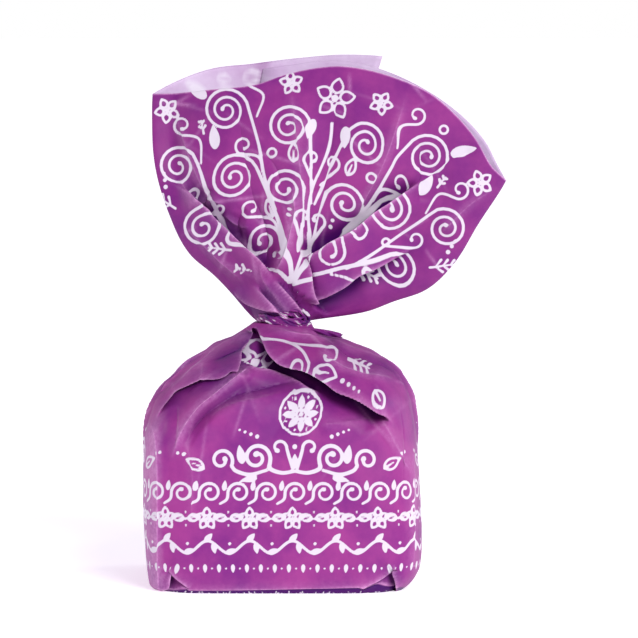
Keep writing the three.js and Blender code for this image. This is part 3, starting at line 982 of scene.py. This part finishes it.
def tuft_points(turn, share):
    """Points of the strip, how far across each lies, and half the depth of the funnel there.

    turn runs from the outer free edge, under pi, to the inner one, past two pi.
    """
    turn, share = np.broadcast_arrays(turn, share)
    front_side = (turn >= LEFT_CREASE) & (turn <= RIGHT_CREASE)
    inside = turn > RIGHT_CREASE
    across = np.select([front_side, inside], [turn / math.pi - 1, 3 - turn / math.pi], 1 - turn / math.pi)
    rims = [front_reach(across), inner_reach(across)]
    reach = np.select([front_side, inside], rims, outer_reach(across)) * share
    ray = np.radians(mix(left_ray(share), right_ray(share), across))
    bulge = np.sin(math.pi * across) ** 0.8
    sway = share**2 * (1.6 * np.cos(math.pi * across) + 0.9 * np.sin(2 * math.pi * across))
    half = mouth_depth(share) * bulge
    layer = LAYER_GAP * inside * smoothstep(across, 0.8, 0.6)
    # Each crease is a small round bend: outward at its middle, forward or back on its two sides.
    side = np.where(turn < (LEFT_CREASE + RIGHT_CREASE) / 2, -1, 1)
    past_crease = turn - np.where(side < 0, LEFT_CREASE, RIGHT_CREASE)
    bend = np.clip(past_crease / BEND_TURN, -1, 1) * math.pi / 2
    outward = side * np.cos(bend) * CREASE_BEND
    forward = side * np.sin(bend) * CREASE_BEND
    x = TUFT_CENTRE[0] + reach * np.sin(ray) + outward * np.cos(ray)
    z = TUFT_CENTRE[1] + reach * np.cos(ray) - outward * np.sin(ray)
    y = sway + np.where(front_side, -half, half - layer) + forward
    fan = np.stack([x, y, z], -1)
    # At the knot the strip runs round the neck instead.
    radius = NECK_RADIUS - np.where(inside, LAYER_GAP, 0)
    level = np.full_like(x, NECK_HEIGHT)
    neck = np.stack([NECK_X + radius * np.cos(turn), radius * np.sin(turn), level], -1)
    return mix(neck, fan, smoothstep(share, NECK_SHARE, FAN_SHARE)[..., None]), across, half


TUFT_COLUMNS = 471
TUFT_ROWS = 161


def spread_turns():
    """The strip's columns: close together on the front and round the creases, wide apart where covered."""
    fine = np.linspace(math.pi * (1 - OUTER_EDGE), math.pi * (3 - INNER_EDGE), 4001)
    points, _, _ = tuft_points(fine, 0.85 + 0 * fine)
    steps = np.linalg.norm(np.diff(points, axis=0), axis=-1)
    middle = (fine[1:] + fine[:-1]) / 2
    on_front = (middle > LEFT_CREASE - 0.15) & (middle < RIGHT_CREASE + 0.15)
    near_crease = np.minimum(abs(middle - LEFT_CREASE), abs(middle - RIGHT_CREASE)) < 0.12
    covered = middle > math.pi * (3 - OUTER_EDGE)
    closeness = 1 + 1.2 * on_front + 2 * near_crease - 0.6 * covered
    length = np.concatenate([[0], np.cumsum(steps * closeness)])
    return np.interp(np.linspace(0, length[-1], TUFT_COLUMNS), length, fine)


turns = spread_turns()[None, :]
shares = np.linspace(NECK_SHARE, 1, TUFT_ROWS)[:, None]
tuft_base, tuft_across, tuft_room = tuft_points(turns, shares)
tuft_normals = grid_normals(tuft_base, closed=False)
past_left = smoothstep(turns, LEFT_CREASE - 0.02, LEFT_CREASE + 0.2)
before_right = smoothstep(-turns, -RIGHT_CREASE - 0.02, -RIGHT_CREASE + 0.2)
tuft_reach = past_left * before_right * np.ones_like(tuft_across)
tuft_front = Paper(seen_from_front(tuft_base), (0, -1, 0), tuft_reach)
# The middle panel's top edge lies over the upper panel.
MIDDLE_PANEL_TOP = from_photo(
    (424, 176), (412, 188), (392, 204), (374, 216), (354, 232), (331, 244), (318, 253), (302, 260),
)
tuft_front.lap(
    MIDDLE_PANEL_TOP, height=1.3, high=6, low=5, lip=0.4, valley=1.8, hidden=1.5, ends=(0.3, 0.08),
    soft=0.28,
)
# The gap under the middle panel, sunk and darkened with painted shade, and the panel's left edge.
MIDDLE_PANEL_FOOT = from_photo(
    (311, 304), (318, 297), (342, 284), (356, 273), (372, 266), (395, 258), (425, 246),
)
tuft_front.lap(
    MIDDLE_PANEL_FOOT, height=1.4, high=5, low=4, lip=0.6, valley=2.6, hidden=1.5, ends=(0.05, 0.35),
    soft=0.28,
)
MIDDLE_PANEL_SIDE = from_photo((314, 304), (313, 290), (311, 270), (306, 257))
tuft_front.lap(MIDDLE_PANEL_SIDE, height=0.9, high=3, low=2.5, lip=0.1, valley=0.9, hidden=1, soft=0.36)
# The rolled band along the lower left.
ROLLED_BAND = from_photo(
    (275, 279), (258, 260), (243, 247), (231, 236), (215, 220), (203, 207), (194, 198), (182, 188),
    (166, 176),
)
tuft_front.lap(
    ROLLED_BAND, height=1.4, high=4, low=4, lip=0.3, valley=1.3, hidden=1.2, ends=(0.1, 0.3), soft=0.28,
)
# Gathers that run together at the knot.
LONG_GATHER = from_photo((301, 326), (286, 316), (272, 304), (262, 294), (254, 283))
tuft_front.lap(
    LONG_GATHER, height=0.5, high=2, low=3, lip=0.1, valley=0.5, hidden=0, ends=(0.02, 0.3), soft=0.3,
    dark=0.95,
)
SHORT_GATHER = from_photo((303, 316), (301, 311), (292, 299), (281, 287), (272, 278))
tuft_front.lap(
    SHORT_GATHER, height=0.4, high=2, low=1.6, lip=0.1, valley=0.35, hidden=0, ends=(0.02, 0.25),
    soft=0.3, dark=0.85,
)
LEFT_GATHER = from_photo((232, 293), (241, 301), (253, 307), (272, 313), (288, 319.5))
tuft_front.lap(
    LEFT_GATHER, height=0.5, high=2, low=4.5, lip=0.1, valley=0.5, hidden=0, ends=(0.1, 0.05), soft=0.24,
    dark=0.75,
)
# Soft creases, each with its height, how wide it is on its left and its right, and its line.
for height, left_width, right_width, *pixels in (
    (0.35, 0.8, 0.8, (256, 262), (264, 282), (280, 302), (296, 316)),
    (-0.4, 0.6, 0.9, (290, 282), (296, 296), (303, 308)),
    (1.0, 1.6, 3, (273, 276), (283, 256), (289, 237), (294, 212), (293, 197), (294, 180)),
    (-1.0, 2, 2, (266, 262), (268, 240), (262, 215), (250, 190)),
    (-0.7, 2.5, 4, (419, 206), (420, 185), (420, 160), (419, 136)),
    (0.5, 1.4, 1.6, (180, 222), (196, 238), (214, 256), (232, 272), (246, 284)),
    (-0.6, 3, 3, (262, 232), (247, 170), (236, 92)),
    # Small ones above the rolled band.
    (0.5, 1, 1, (178, 178), (190, 196), (196, 210)),
    (-0.5, 0.8, 1.2, (212, 188), (206, 204), (212, 222)),
    (0.35, 0.8, 0.8, (196, 206), (210, 200), (226, 208)),
    (-0.6, 0.9, 1.1, (246, 208), (238, 222), (242, 240)),
    (0.4, 0.8, 0.8, (222, 214), (236, 226), (250, 228)),
    # And long ones up to the rim.
    (-0.4, 1.2, 1, (262, 150), (276, 168), (282, 190)),
    (0.3, 1.2, 1.5, (300, 118), (308, 140), (306, 160)),
    (-0.5, 4, 2.5, (312, 240), (330, 160), (338, 82)),
    (0.45, 2, 3.5, (305, 225), (298, 150), (290, 84)),
    (0.5, 3, 3, (352, 225), (385, 160), (408, 90)),
    (-0.5, 2.5, 2.5, (425, 180), (455, 158), (480, 150)),
    (0.5, 2.5, 4, (440, 235), (470, 205), (500, 186)),
    (0.5, 1.8, 3.5, (214, 214), (190, 160), (170, 100)),
):
    tuft_front.crease(from_photo(*pixels), height, left_width, right_width)
MIDDLE_PANEL_DENT = from_photo((405, 240))[0]
tuft_front.dent(MIDDLE_PANEL_DENT, (2.6, 3.6), 1.0, turn=-20)
LEFT_EDGE_DENT = from_photo((136, 150))[0]
tuft_front.dent(LEFT_EDGE_DENT, (6, 9), 3.2, turn=-10)
OVER_MIDDLE_DENT = from_photo((425, 222))[0]
tuft_front.dent(OVER_MIDDLE_DENT, (4.5, 6), 1.3, turn=-35)
tuft_points_folded = tuft_base + tuft_front.moved(tuft_normals)
tuft_lift, tuft_rub = crumple(
    tuft_front.spots, seed=11, count=90, radiate_from=np.array([1.5, 33]), low=(-16, 34), high=(27, 62),
    depth=0.11,
)
tuft_points_folded += (tuft_lift * tuft_front.reach)[..., None] * tuft_normals
rim_wear = 1.3 * smoothstep(shares, 0.994, 1)
tuft_wear = tuft_front.wear + tuft_rub * tuft_front.reach + rim_wear
# Painted shade: darkest in the gathers at the neck, and darker towards the two creases.
to_side = smoothstep(np.abs(tuft_across - 0.5), 0.15, 0.5)
shade_in_gathers = 0.85 * smoothstep(-tuft_front.spots[..., 1], -33.4, -32.2)
shade_by_creases = 0.1 + mix(0.22, 0.1, tuft_across) * to_side
tuft_painted_shade = np.maximum.reduce([tuft_front.painted_shade, shade_in_gathers, shade_by_creases])

FAN_AXIS = 13  # the direction in which the fan's print grows, in degrees from upright
FAN_ROOT = np.array([TUFT_CENTRE[0], TUFT_CENTRE[1] + 1.2])


def fan(reach, degrees):
    """A place on the opened tuft: its distance from the neck, and degrees from the print's own axis."""
    return FAN_ROOT + reach * heading(FAN_AXIS + degrees)


share = np.linspace(0, 1, 30)
stem = [fan(5.5 + 19 * v, 2.4 * (1 - 0.6 * v) * math.sin(9 * v)) for v in share]
tuft_shapes = [(np.array(stem), PRINT_LINE * (1.1 - 0.2 * share))]
tuft_shapes += blossom(fan(27.4, 0), 2.1, FAN_AXIS)
for side in (-1, 1):
    # Each scroll: how far out, degrees from the axis, radius, and the places that its stem passes.
    for reach, degrees, radius, places in (
        (10.3, 24, 1.9, ((5, 2), (7.6, 8))),
        (16.2, 12.5, 2.3, ((8.5, 0.8), (12, 3))),
        (23.4, 11.5, 2.6, ((15, 0.8), (19, 3.2))),
        (18.4, 31, 2.75, ((5, 1), (10, 10.5), (14.5, 18))),
        (26.2, 28.4, 2.7, ((13.6, 16), (17.5, 20), (21.5, 20.8))),
        (14.8, 54, 2.5, ((4.6, 2), (7.4, 27), (11.2, 38.5))),
        (22.4, 47.5, 2.4, ((10.2, 37.4), (14.6, 40.4), (18.4, 41))),
    ):
        start, *via = [fan(a, side * b) for a, b in places]
        entry = FAN_AXIS + side * (degrees - 84)
        root = 1.7 if places[0][0] < 6 else 0.9  # thicker where it grows from the neck
        tuft_shapes.append(curl(start, via, fan(reach, side * degrees), radius, entry, side, root=root))
    # Small tendrils that curl the other way, off the stems.
    for reach, degrees, radius, places in (
        (13.4, 3.5, 0.95, ((10.6, 1.8),)),
        (20, 3.4, 1, ((17.2, 1.4),)),
        (14.3, 27.5, 1.05, ((10.6, 13), (12.6, 18.5))),
        (21.7, 25.4, 1.1, ((18.2, 20.6), (20, 21.4))),
        (11.8, 44.5, 1, ((8.4, 34),)),
        (18.6, 45.6, 1.05, ((15.2, 40.6),)),
        (29.4, 20, 1.1, ((24.8, 20.4), (27.2, 18.2))),
        (26.4, 40.5, 1.15, ((21.4, 40.2), (24, 38))),
    ):
        start, *via = [fan(a, side * b) for a, b in places]
        entry = FAN_AXIS + side * (degrees + 140)
        middle = fan(reach, side * degrees)
        tuft_shapes.append(curl(start, via, middle, radius, entry, -side, width=0.14, pitch=0.75))
    for reach, degrees, turn, length, width in (
        (19.4, 9.5, 14, 2.1, 0.55), (12.9, 17.6, 34, 2, 0.5),
    ):
        tuft_shapes += open_leaf(fan(reach, side * degrees), FAN_AXIS + side * turn, length, width)
    for reach, degrees, turn, length, width in (
        (28.4, 32.4, 62, 3, 0.72), (22.4, 34.4, 20, 2.6, 0.66), (24.4, 4.6, 172, 2.3, 0.6),
    ):
        tuft_shapes.append(leaf(fan(reach, side * degrees), FAN_AXIS + side * turn, length, width))
    for reach, degrees, turn, length, pairs in (
        (10.6, 50, 95, 2.6, 3), (18.7, 57, 70, 3, 3), (24.4, 36.2, 24, 1.6, 2), (7.2, 46, 92, 2, 2),
    ):
        tuft_shapes += sprig(fan(reach, side * degrees), FAN_AXIS + side * turn, length, pairs)
    for reach, degrees, size, turn in ((28.6, 11.2, 1.2, 20), (28.8, 42, 1.3, 40)):
        tuft_shapes += blossom(fan(reach, side * degrees), size, FAN_AXIS + side * turn)
    for reach, degrees, radius in ((20.4, 16.8, 0.5), (29.9, 27, 0.5), (15.6, 39.6, 0.42), (8.4, 14.5, 0.4)):
        tuft_shapes.append(ring(fan(reach, side * degrees), radius))
    for reach, degrees, turn, count, size, gap in (
        (21.4, 54.5, 20, 3, 0.26, 0.85), (13.2, 10, 12, 2, 0.24, 0.8),
    ):
        tuft_shapes += beads(fan(reach, side * degrees), FAN_AXIS + side * turn, count, size, gap)
# The print at the back runs the same way up from the neck, in slightly thicker lines.
BACK_THICKER = 0.06
tuft_spots = tuft_front.spots + tuft_front.hidden
at_back = (turns < LEFT_CREASE) | (turns > RIGHT_CREASE)
tuft_ink = ink_at(tuft_spots, tuft_shapes) - BACK_THICKER * at_back
# None is left round the knot.
from_knot = np.linalg.norm(tuft_spots - TUFT_CENTRE, axis=-1)
tuft_ink = lifted_off(tuft_ink, 1 - smoothstep(from_knot, 5.4, 6))


def paper_strip(name, outside, inside):
    """A closed thin sheet from the grids of its two faces, the inside one with half as many steps each way.

    Its three materials are for the outside, the inside and the cut edges.
    """
    rows, columns = outside.shape[:2]
    inside = inside[::2, ::2]
    out = np.arange(rows * columns).reshape(rows, columns)
    back = rows * columns + np.arange(inside.size // 3).reshape(inside.shape[:2])
    printed = np.stack([out[:-1, :-1], out[:-1, 1:], out[1:, 1:], out[1:, :-1]], -1).reshape(-1, 4)
    plain = np.stack([back[:-1, :-1], back[1:, :-1], back[1:, 1:], back[:-1, 1:]], -1).reshape(-1, 4)
    edges = []
    for fine, coarse, flip in (
        (out[-1], back[-1], 1), (out[0], back[0], -1), (out[:, -1], back[:, -1], -1),
        (out[:, 0], back[:, 0], 1),
    ):
        ring = np.stack([fine[:-2:2], fine[1:-1:2], fine[2::2], coarse[1:], coarse[:-1]], -1)
        edges += ring[:, ::flip].tolist()
    mesh = bpy.data.meshes.new(name)
    vertices = np.concatenate([outside.reshape(-1, 3), inside.reshape(-1, 3)])
    mesh.from_pydata(vertices * MM, [], printed.tolist() + plain.tolist() + edges)
    kinds = np.repeat([0, 1, 2], [len(printed), len(plain), len(edges)])
    mesh.polygons.foreach_set("material_index", kinds)
    mesh.polygons.foreach_set("use_smooth", kinds < 2)
    return mesh


def carry_on_strip(mesh, name, outside, inside):
    """Gives a strip's points their values, from the grids for its two faces."""
    carry(mesh, name, np.concatenate([outside.ravel(), inside[::2, ::2].ravel()]))


folded_normals = grid_normals(tuft_points_folded, closed=False)
# Behind a folded edge the paper's layers take up more room.
tuft_inside = tuft_points_folded - PAPER * folded_normals
behind = np.maximum(0, 2 * tuft_room - 0.5 + np.minimum(tuft_front.lift, 0))
tuft_inside[..., 1] += np.minimum(1.1 * tuft_front.steep, behind)
tuft_inside[..., ::2] += 0.4 * tuft_front.under * (behind > 0.3)[..., None]
tuft_mesh = paper_strip("wrapper_tuft", tuft_points_folded, tuft_inside)
# No print shows along the folded edges, nor on what is turned away beside them.
tuft_ink = lifted_off(tuft_ink, smoothstep(tuft_front.bare, 0.3, 0.7))
tuft_ink = lifted_off(tuft_ink, tuft_front.turned_away(folded_normals))
# Inside, a painted shadow lies along the inner free edge.
by_edge = (turns < LEFT_CREASE) & (tuft_across < INNER_EDGE + 0.01)
edge_shadow = 0.6 * by_edge * np.exp(-np.abs(tuft_across - INNER_EDGE) / 0.03)
carry_on_strip(tuft_mesh, "wear", tuft_wear, 0 * tuft_wear)
carry_on_strip(tuft_mesh, "painted_shade", tuft_painted_shade, edge_shadow)
carry_on_strip(tuft_mesh, "print", tuft_ink, tuft_ink)

# The print shows faintly through the paper's unprinted reverse.
paper_reverse = paper_material(
    "paper_reverse", srgb(188, 158, 194), srgb(208, 190, 214), worn_and_sheen=srgb(226, 212, 230),
    painted_shade_colour=srgb(132, 58, 132), ink=srgb(222, 216, 226), sharpness=0.3, roughness=0.55, specular=0.35,
)
cut_edge = paper_material(
    "cut_paper_edge", srgb(226, 214, 230), srgb(238, 228, 240), worn_and_sheen=srgb(240, 234, 242),
    painted_shade_colour=srgb(190, 150, 196), ink=srgb(238, 230, 240), sharpness=0.05, roughness=0.6, specular=0.3,
)
for material in (printed_paper, paper_reverse, cut_edge):
    tuft_mesh.materials.append(material)
tuft = shown("wrapper_tuft", tuft_mesh)
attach(tuft, "root")
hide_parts("wrapped_truffle")

# ---- The neck ------------------------------------------------------------------------------------
# Where the sheet is twisted shut it is gathered into narrow pleats that wind round the neck from the
# upper left to the lower right. They are swept along their lines in Geometry Nodes.
KNOT_HEIGHT = 32
NECK_DEPTH = 3.75
# The neck's two outlines as the photograph shows them, over the height.
neck_left = through(
    (31.5, -3.6), (32.2, -3.4), (33.2, -2.9), (34.1, -3.9), (35.5, -5.4), (36.5, -5.8), (38, -6.8),
)
neck_right = through((31.5, 3.6), (32.4, 3.5), (33.4, 3.9), (35, 4), (38, 4.4))
# How wide each pleat is, as a part of the width that is set below, and its line in the photograph.
PLEATS = (
    (0.7, (256, 315), (264, 318), (280, 321.5), (298, 326)),
    (0.7, (257, 317), (268, 319.5), (281, 322), (292, 325), (303, 328)),
    (0.6, (256, 319), (268, 321.5), (281, 324), (294, 327.5)),
    (0.8, (259, 315.5), (272, 318), (285, 320), (296, 322), (305, 322)),
    (0.6, (268, 316), (280, 318.5), (292, 320), (303, 317)),
    (0.6, (303, 309), (308, 314), (309, 320), (304, 326)),
    (0.5, (300, 311), (305, 316), (305, 322), (299, 327)),
    (0.5, (292, 314), (298, 318), (303, 323), (306, 327)),
    (0.6, (284, 326), (293, 328), (303, 328.5), (309, 324)),
)


def at_depth(spots, y):
    """The points at depth y that the photograph's view sees at spots."""
    scale = VIEW_DISTANCE / (VIEW_DISTANCE + (y - view_middle[1]))
    x = view_middle[0] + (spots[..., 0] - view_middle[0]) / scale
    up = (spots[..., 1] - (BASE_PIXEL - PHOTO_MIDDLE) * PIXEL) / scale
    z = view_middle[2] + (up - (y - view_middle[1]) * view_up[1]) / view_up[2]
    return np.stack([x, y, z], -1)


pleat_lines = bpy.data.curves.new("pleat_lines", "CURVE")
pleat_lines.dimensions = "3D"
for width, *pixels in PLEATS:
    line = curved(from_photo(*pixels), 6)
    low, high = neck_left(line[:, 1]), neck_right(line[:, 1])
    turned = -np.arccos(np.clip((line[:, 0] - (low + high) / 2) / ((high - low) / 2), -1, 1))
    # Each end runs on a little way round the neck and dives into it.
    ends = np.linspace(0.7, 0.1, 5)
    turned = np.concatenate([turned[0] - ends, turned, turned[-1] + ends[::-1]])
    first_climb, last_climb = line[1, 1] - line[0, 1], line[-1, 1] - line[-2, 1]
    before = line[0, 1] - ends * 2 * first_climb
    after = line[-1, 1] + ends[::-1] * 2 * last_climb
    up = np.concatenate([before, line[:, 1], after])
    low, high = neck_left(up), neck_right(up)
    sunk = np.concatenate([ends, 0 * line[:, 0], ends[::-1]])
    across = (low + high) / 2 + (high - low) / 2 * (1 - 0.25 * sunk) * np.cos(turned)
    placed = at_depth(np.stack([across, up], -1), NECK_DEPTH * (1 - 0.25 * sunk) * np.sin(turned))
    spline = pleat_lines.splines.new("POLY")
    spline.points.add(len(placed) - 1)
    for point, place, dive in zip(spline.points, placed, sunk):
        point.co = (*(place * MM), 1)
        point.radius = width * (1 - 0.6 * dive)


def pleat_tree():
    """The neck's pleats: strands swept along the lines, and the same again on the neck's other side."""
    tree = bpy.data.node_groups.new("twisted_pleats", "GeometryNodeTree")
    for name, kind in (
        ("Geometry", "Geometry"), ("Width", "Float"), ("Thickness", "Float"), ("Crumple", "Float"),
        ("Crumple Scale", "Float"), ("Strands", "Int"), ("Copies", "Int"), ("Axis", "Vector"),
        ("Paper", "Material"),
    ):
        tree.interface.new_socket(name, in_out="INPUT", socket_type="NodeSocket" + kind)
    tree.interface.new_socket("Geometry", in_out="OUTPUT", socket_type="NodeSocketGeometry")
    given = tree.nodes.new("NodeGroupInput")
    # Each pleat is a few strands, and each strand's line wanders in its own way.
    strands = node(
        tree, "GeometryNodeDuplicateElements",
        {"Geometry": given.outputs["Geometry"], "Amount": given.outputs["Strands"]}, domain="SPLINE",
    )
    fine = node(tree, "GeometryNodeResampleCurve", {"Curve": strands.outputs[0], "Count": 64})
    unlike = node(tree, "ShaderNodeMath", {0: strands.outputs[1], 1: 3.7}, operation="MULTIPLY")
    noise = node(
        tree, "ShaderNodeTexNoise",
        {"Scale": given.outputs["Crumple Scale"], "Detail": 2, "W": unlike.outputs[0]},
        noise_dimensions="4D",
    )
    centred = node(
        tree, "ShaderNodeVectorMath", {0: noise.outputs["Color"], 1: (0.5, 0.5, 0.5)}, operation="SUBTRACT",
    )
    wander = node(
        tree, "ShaderNodeVectorMath", {0: centred.outputs[0], "Scale": given.outputs["Crumple"]},
        operation="SCALE",
    )
    placed = node(tree, "GeometryNodeSetPosition", {"Geometry": fine.outputs[0], "Offset": wander.outputs[0]})
    # The same pleats go round the neck's other side.
    marks = node(
        tree, "GeometryNodeMeshLine",
        {"Count": given.outputs["Copies"], "Offset": (0, 0, 0), "Start Location": given.outputs["Axis"]},
    )
    index = node(tree, "GeometryNodeInputIndex")
    part = node(tree, "ShaderNodeMath", {0: math.tau, 1: given.outputs["Copies"]}, operation="DIVIDE")
    turn = node(tree, "ShaderNodeMath", {0: index.outputs[0], 1: part.outputs[0]}, operation="MULTIPLY")
    rotation = node(tree, "ShaderNodeCombineXYZ", {"Z": turn.outputs[0]})
    back_by = node(tree, "ShaderNodeVectorMath", {0: given.outputs["Axis"], "Scale": -1.0}, operation="SCALE")
    about_axis = node(
        tree, "GeometryNodeSetPosition", {"Geometry": placed.outputs[0], "Offset": back_by.outputs[0]},
    )
    copies = node(
        tree, "GeometryNodeInstanceOnPoints",
        {"Points": marks.outputs[0], "Instance": about_axis.outputs[0], "Rotation": rotation.outputs[0]},
    )
    lines = node(tree, "GeometryNodeRealizeInstances", {"Geometry": copies.outputs[0]})
    # A pleat's section is a flattened round.
    section = node(tree, "GeometryNodeCurvePrimitiveCircle", {"Resolution": 8, "Radius": 1.0})
    size = node(
        tree, "ShaderNodeCombineXYZ",
        {"X": given.outputs["Thickness"], "Y": given.outputs["Width"], "Z": 1.0},
    )
    flat = node(tree, "GeometryNodeTransform", {"Geometry": section.outputs[0], "Scale": size.outputs[0]})
    width = node(tree, "GeometryNodeInputRadius")
    sweep = {"Curve": lines.outputs[0], "Profile Curve": flat.outputs[0], "Scale": width.outputs[0]}
    swept = node(tree, "GeometryNodeCurveToMesh", {**sweep, "Fill Caps": True})
    # White print shows on short stretches of them.
    place = node(tree, "GeometryNodeInputPosition")
    turned = node(
        tree, "ShaderNodeVectorRotate", {"Vector": place.outputs[0], "Angle": math.radians(-30)},
        rotation_type="Y_AXIS",
    )
    streaks = node(
        tree, "ShaderNodeVectorMath", {0: turned.outputs[0], 1: (420, 900, 2400)}, operation="MULTIPLY",
    )
    spread = node(tree, "ShaderNodeTexNoise", {"Vector": streaks.outputs[0], "Scale": 1.0, "Detail": 1})
    ink = node(tree, "ShaderNodeMath", {0: 0.57, 1: spread.outputs[0]}, operation="SUBTRACT")
    inked = node(
        tree, "GeometryNodeStoreNamedAttribute",
        {"Geometry": swept.outputs[0], "Name": "print", "Value": ink.outputs[0]},
        data_type="FLOAT", domain="POINT",
    )
    # Between the streaks the paper is darkened with painted shade.
    gloom = node(
        tree, "ShaderNodeMapRange",
        {"Value": spread.outputs[0], "From Min": 0.32, "From Max": 0.56, "To Min": 1.0, "To Max": 0.1},
    )
    shaded = node(
        tree, "GeometryNodeStoreNamedAttribute",
        {"Geometry": inked.outputs[0], "Name": "painted_shade", "Value": gloom.outputs[0]},
        data_type="FLOAT", domain="POINT",
    )
    smooth = node(tree, "GeometryNodeSetShadeSmooth", {"Geometry": shaded.outputs[0]})
    whole = node(tree, "GeometryNodeRealizeInstances", {"Geometry": smooth.outputs[0]})
    covered = node(
        tree, "GeometryNodeSetMaterial", {"Geometry": whole.outputs[0], "Material": given.outputs["Paper"]},
    )
    result = tree.nodes.new("NodeGroupOutput")
    tree.links.new(covered.outputs[0], result.inputs[0])
    return tree


pleats_maker = shown("pleats_maker", pleat_lines)
winding = pleats_maker.modifiers.new("pleats", "NODES")
winding.node_group = pleat_tree()
# In metres, but for the crumple's scale.
chosen = {
    "Width": 0.00026, "Thickness": 0.00017, "Crumple": 0.0010, "Crumple Scale": 620.0, "Strands": 3,
    "Copies": 2, "Axis": (NECK_X * MM, 0, KNOT_HEIGHT * MM), "Paper": printed_paper,
}
for socket in winding.node_group.interface.items_tree:
    if socket.in_out == "INPUT" and socket.name in chosen:
        winding[socket.identifier] = chosen[socket.name]
pleats_maker.update_tag()
bpy.context.view_layer.update()
evaluated = pleats_maker.evaluated_get(bpy.context.evaluated_depsgraph_get())
pleats_mesh = bpy.data.meshes.new_from_object(evaluated)
bpy.data.objects.remove(pleats_maker)
pleats = shown("neck_pleats", pleats_mesh)
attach(pleats, "root")
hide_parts("wrapped_truffle")

# ---- The loose pleat beside the neck -------------------------------------------------------------
# One pleat's pointed end isn't caught by the twist: it lies out to the right over the shoulder behind.
# It is the same printed paper, folded thin, and stays one strip with an outside and a reverse.
EAR_ROWS, EAR_COLUMNS = 13, 49
EAR_LINE = curved(from_photo((288, 326.5), (304, 329), (318, 331.2), (331, 333.6), (342, 335.6)), 12)
ear_width = through((0, 0.1), (0.35, 0.26), (0.7, 0.36), (0.95, 0.3), (1, 0.26))
along = np.linspace(0, 1, EAR_COLUMNS)
places = along * (len(EAR_LINE) - 1)
centre = np.stack([np.interp(places, np.arange(len(EAR_LINE)), EAR_LINE[:, i]) for i in range(2)], -1)
across = np.linspace(-1, 1, EAR_ROWS)[:, None]
ear_up = centre[None, :, 1] + across * ear_width(along)
ear_across = centre[None, :, 0] + 0.1 * np.sin(across * 5) * along**8  # an uneven end
ear_depth = mix(-3.4, -1.0, along) - 0.35 * np.cos(across * 1.4) + 0.12 * np.sin(along * 21 + across * 3)
ear_outside = at_depth(np.stack([ear_across, ear_up], -1), ear_depth)
ear_normals = grid_normals(ear_outside, closed=False)
ear_mesh = paper_strip("neck_ear", ear_outside, ear_outside - PAPER * ear_normals)
# The ear is darkened towards its lower edge with painted shade.
ear_shade = mix(0.15, 0.5, smoothstep(-across, -1, 0.4)) * np.ones_like(ear_depth)
carry_on_strip(ear_mesh, "painted_shade", ear_shade, ear_shade)
unprinted = np.full_like(ear_shade, 0.5)
carry_on_strip(ear_mesh, "print", unprinted, unprinted)
for material in (printed_paper, paper_reverse, cut_edge):
    ear_mesh.materials.append(material)
ear = shown("neck_ear", ear_mesh)
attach(ear, "root")
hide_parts("wrapped_truffle")
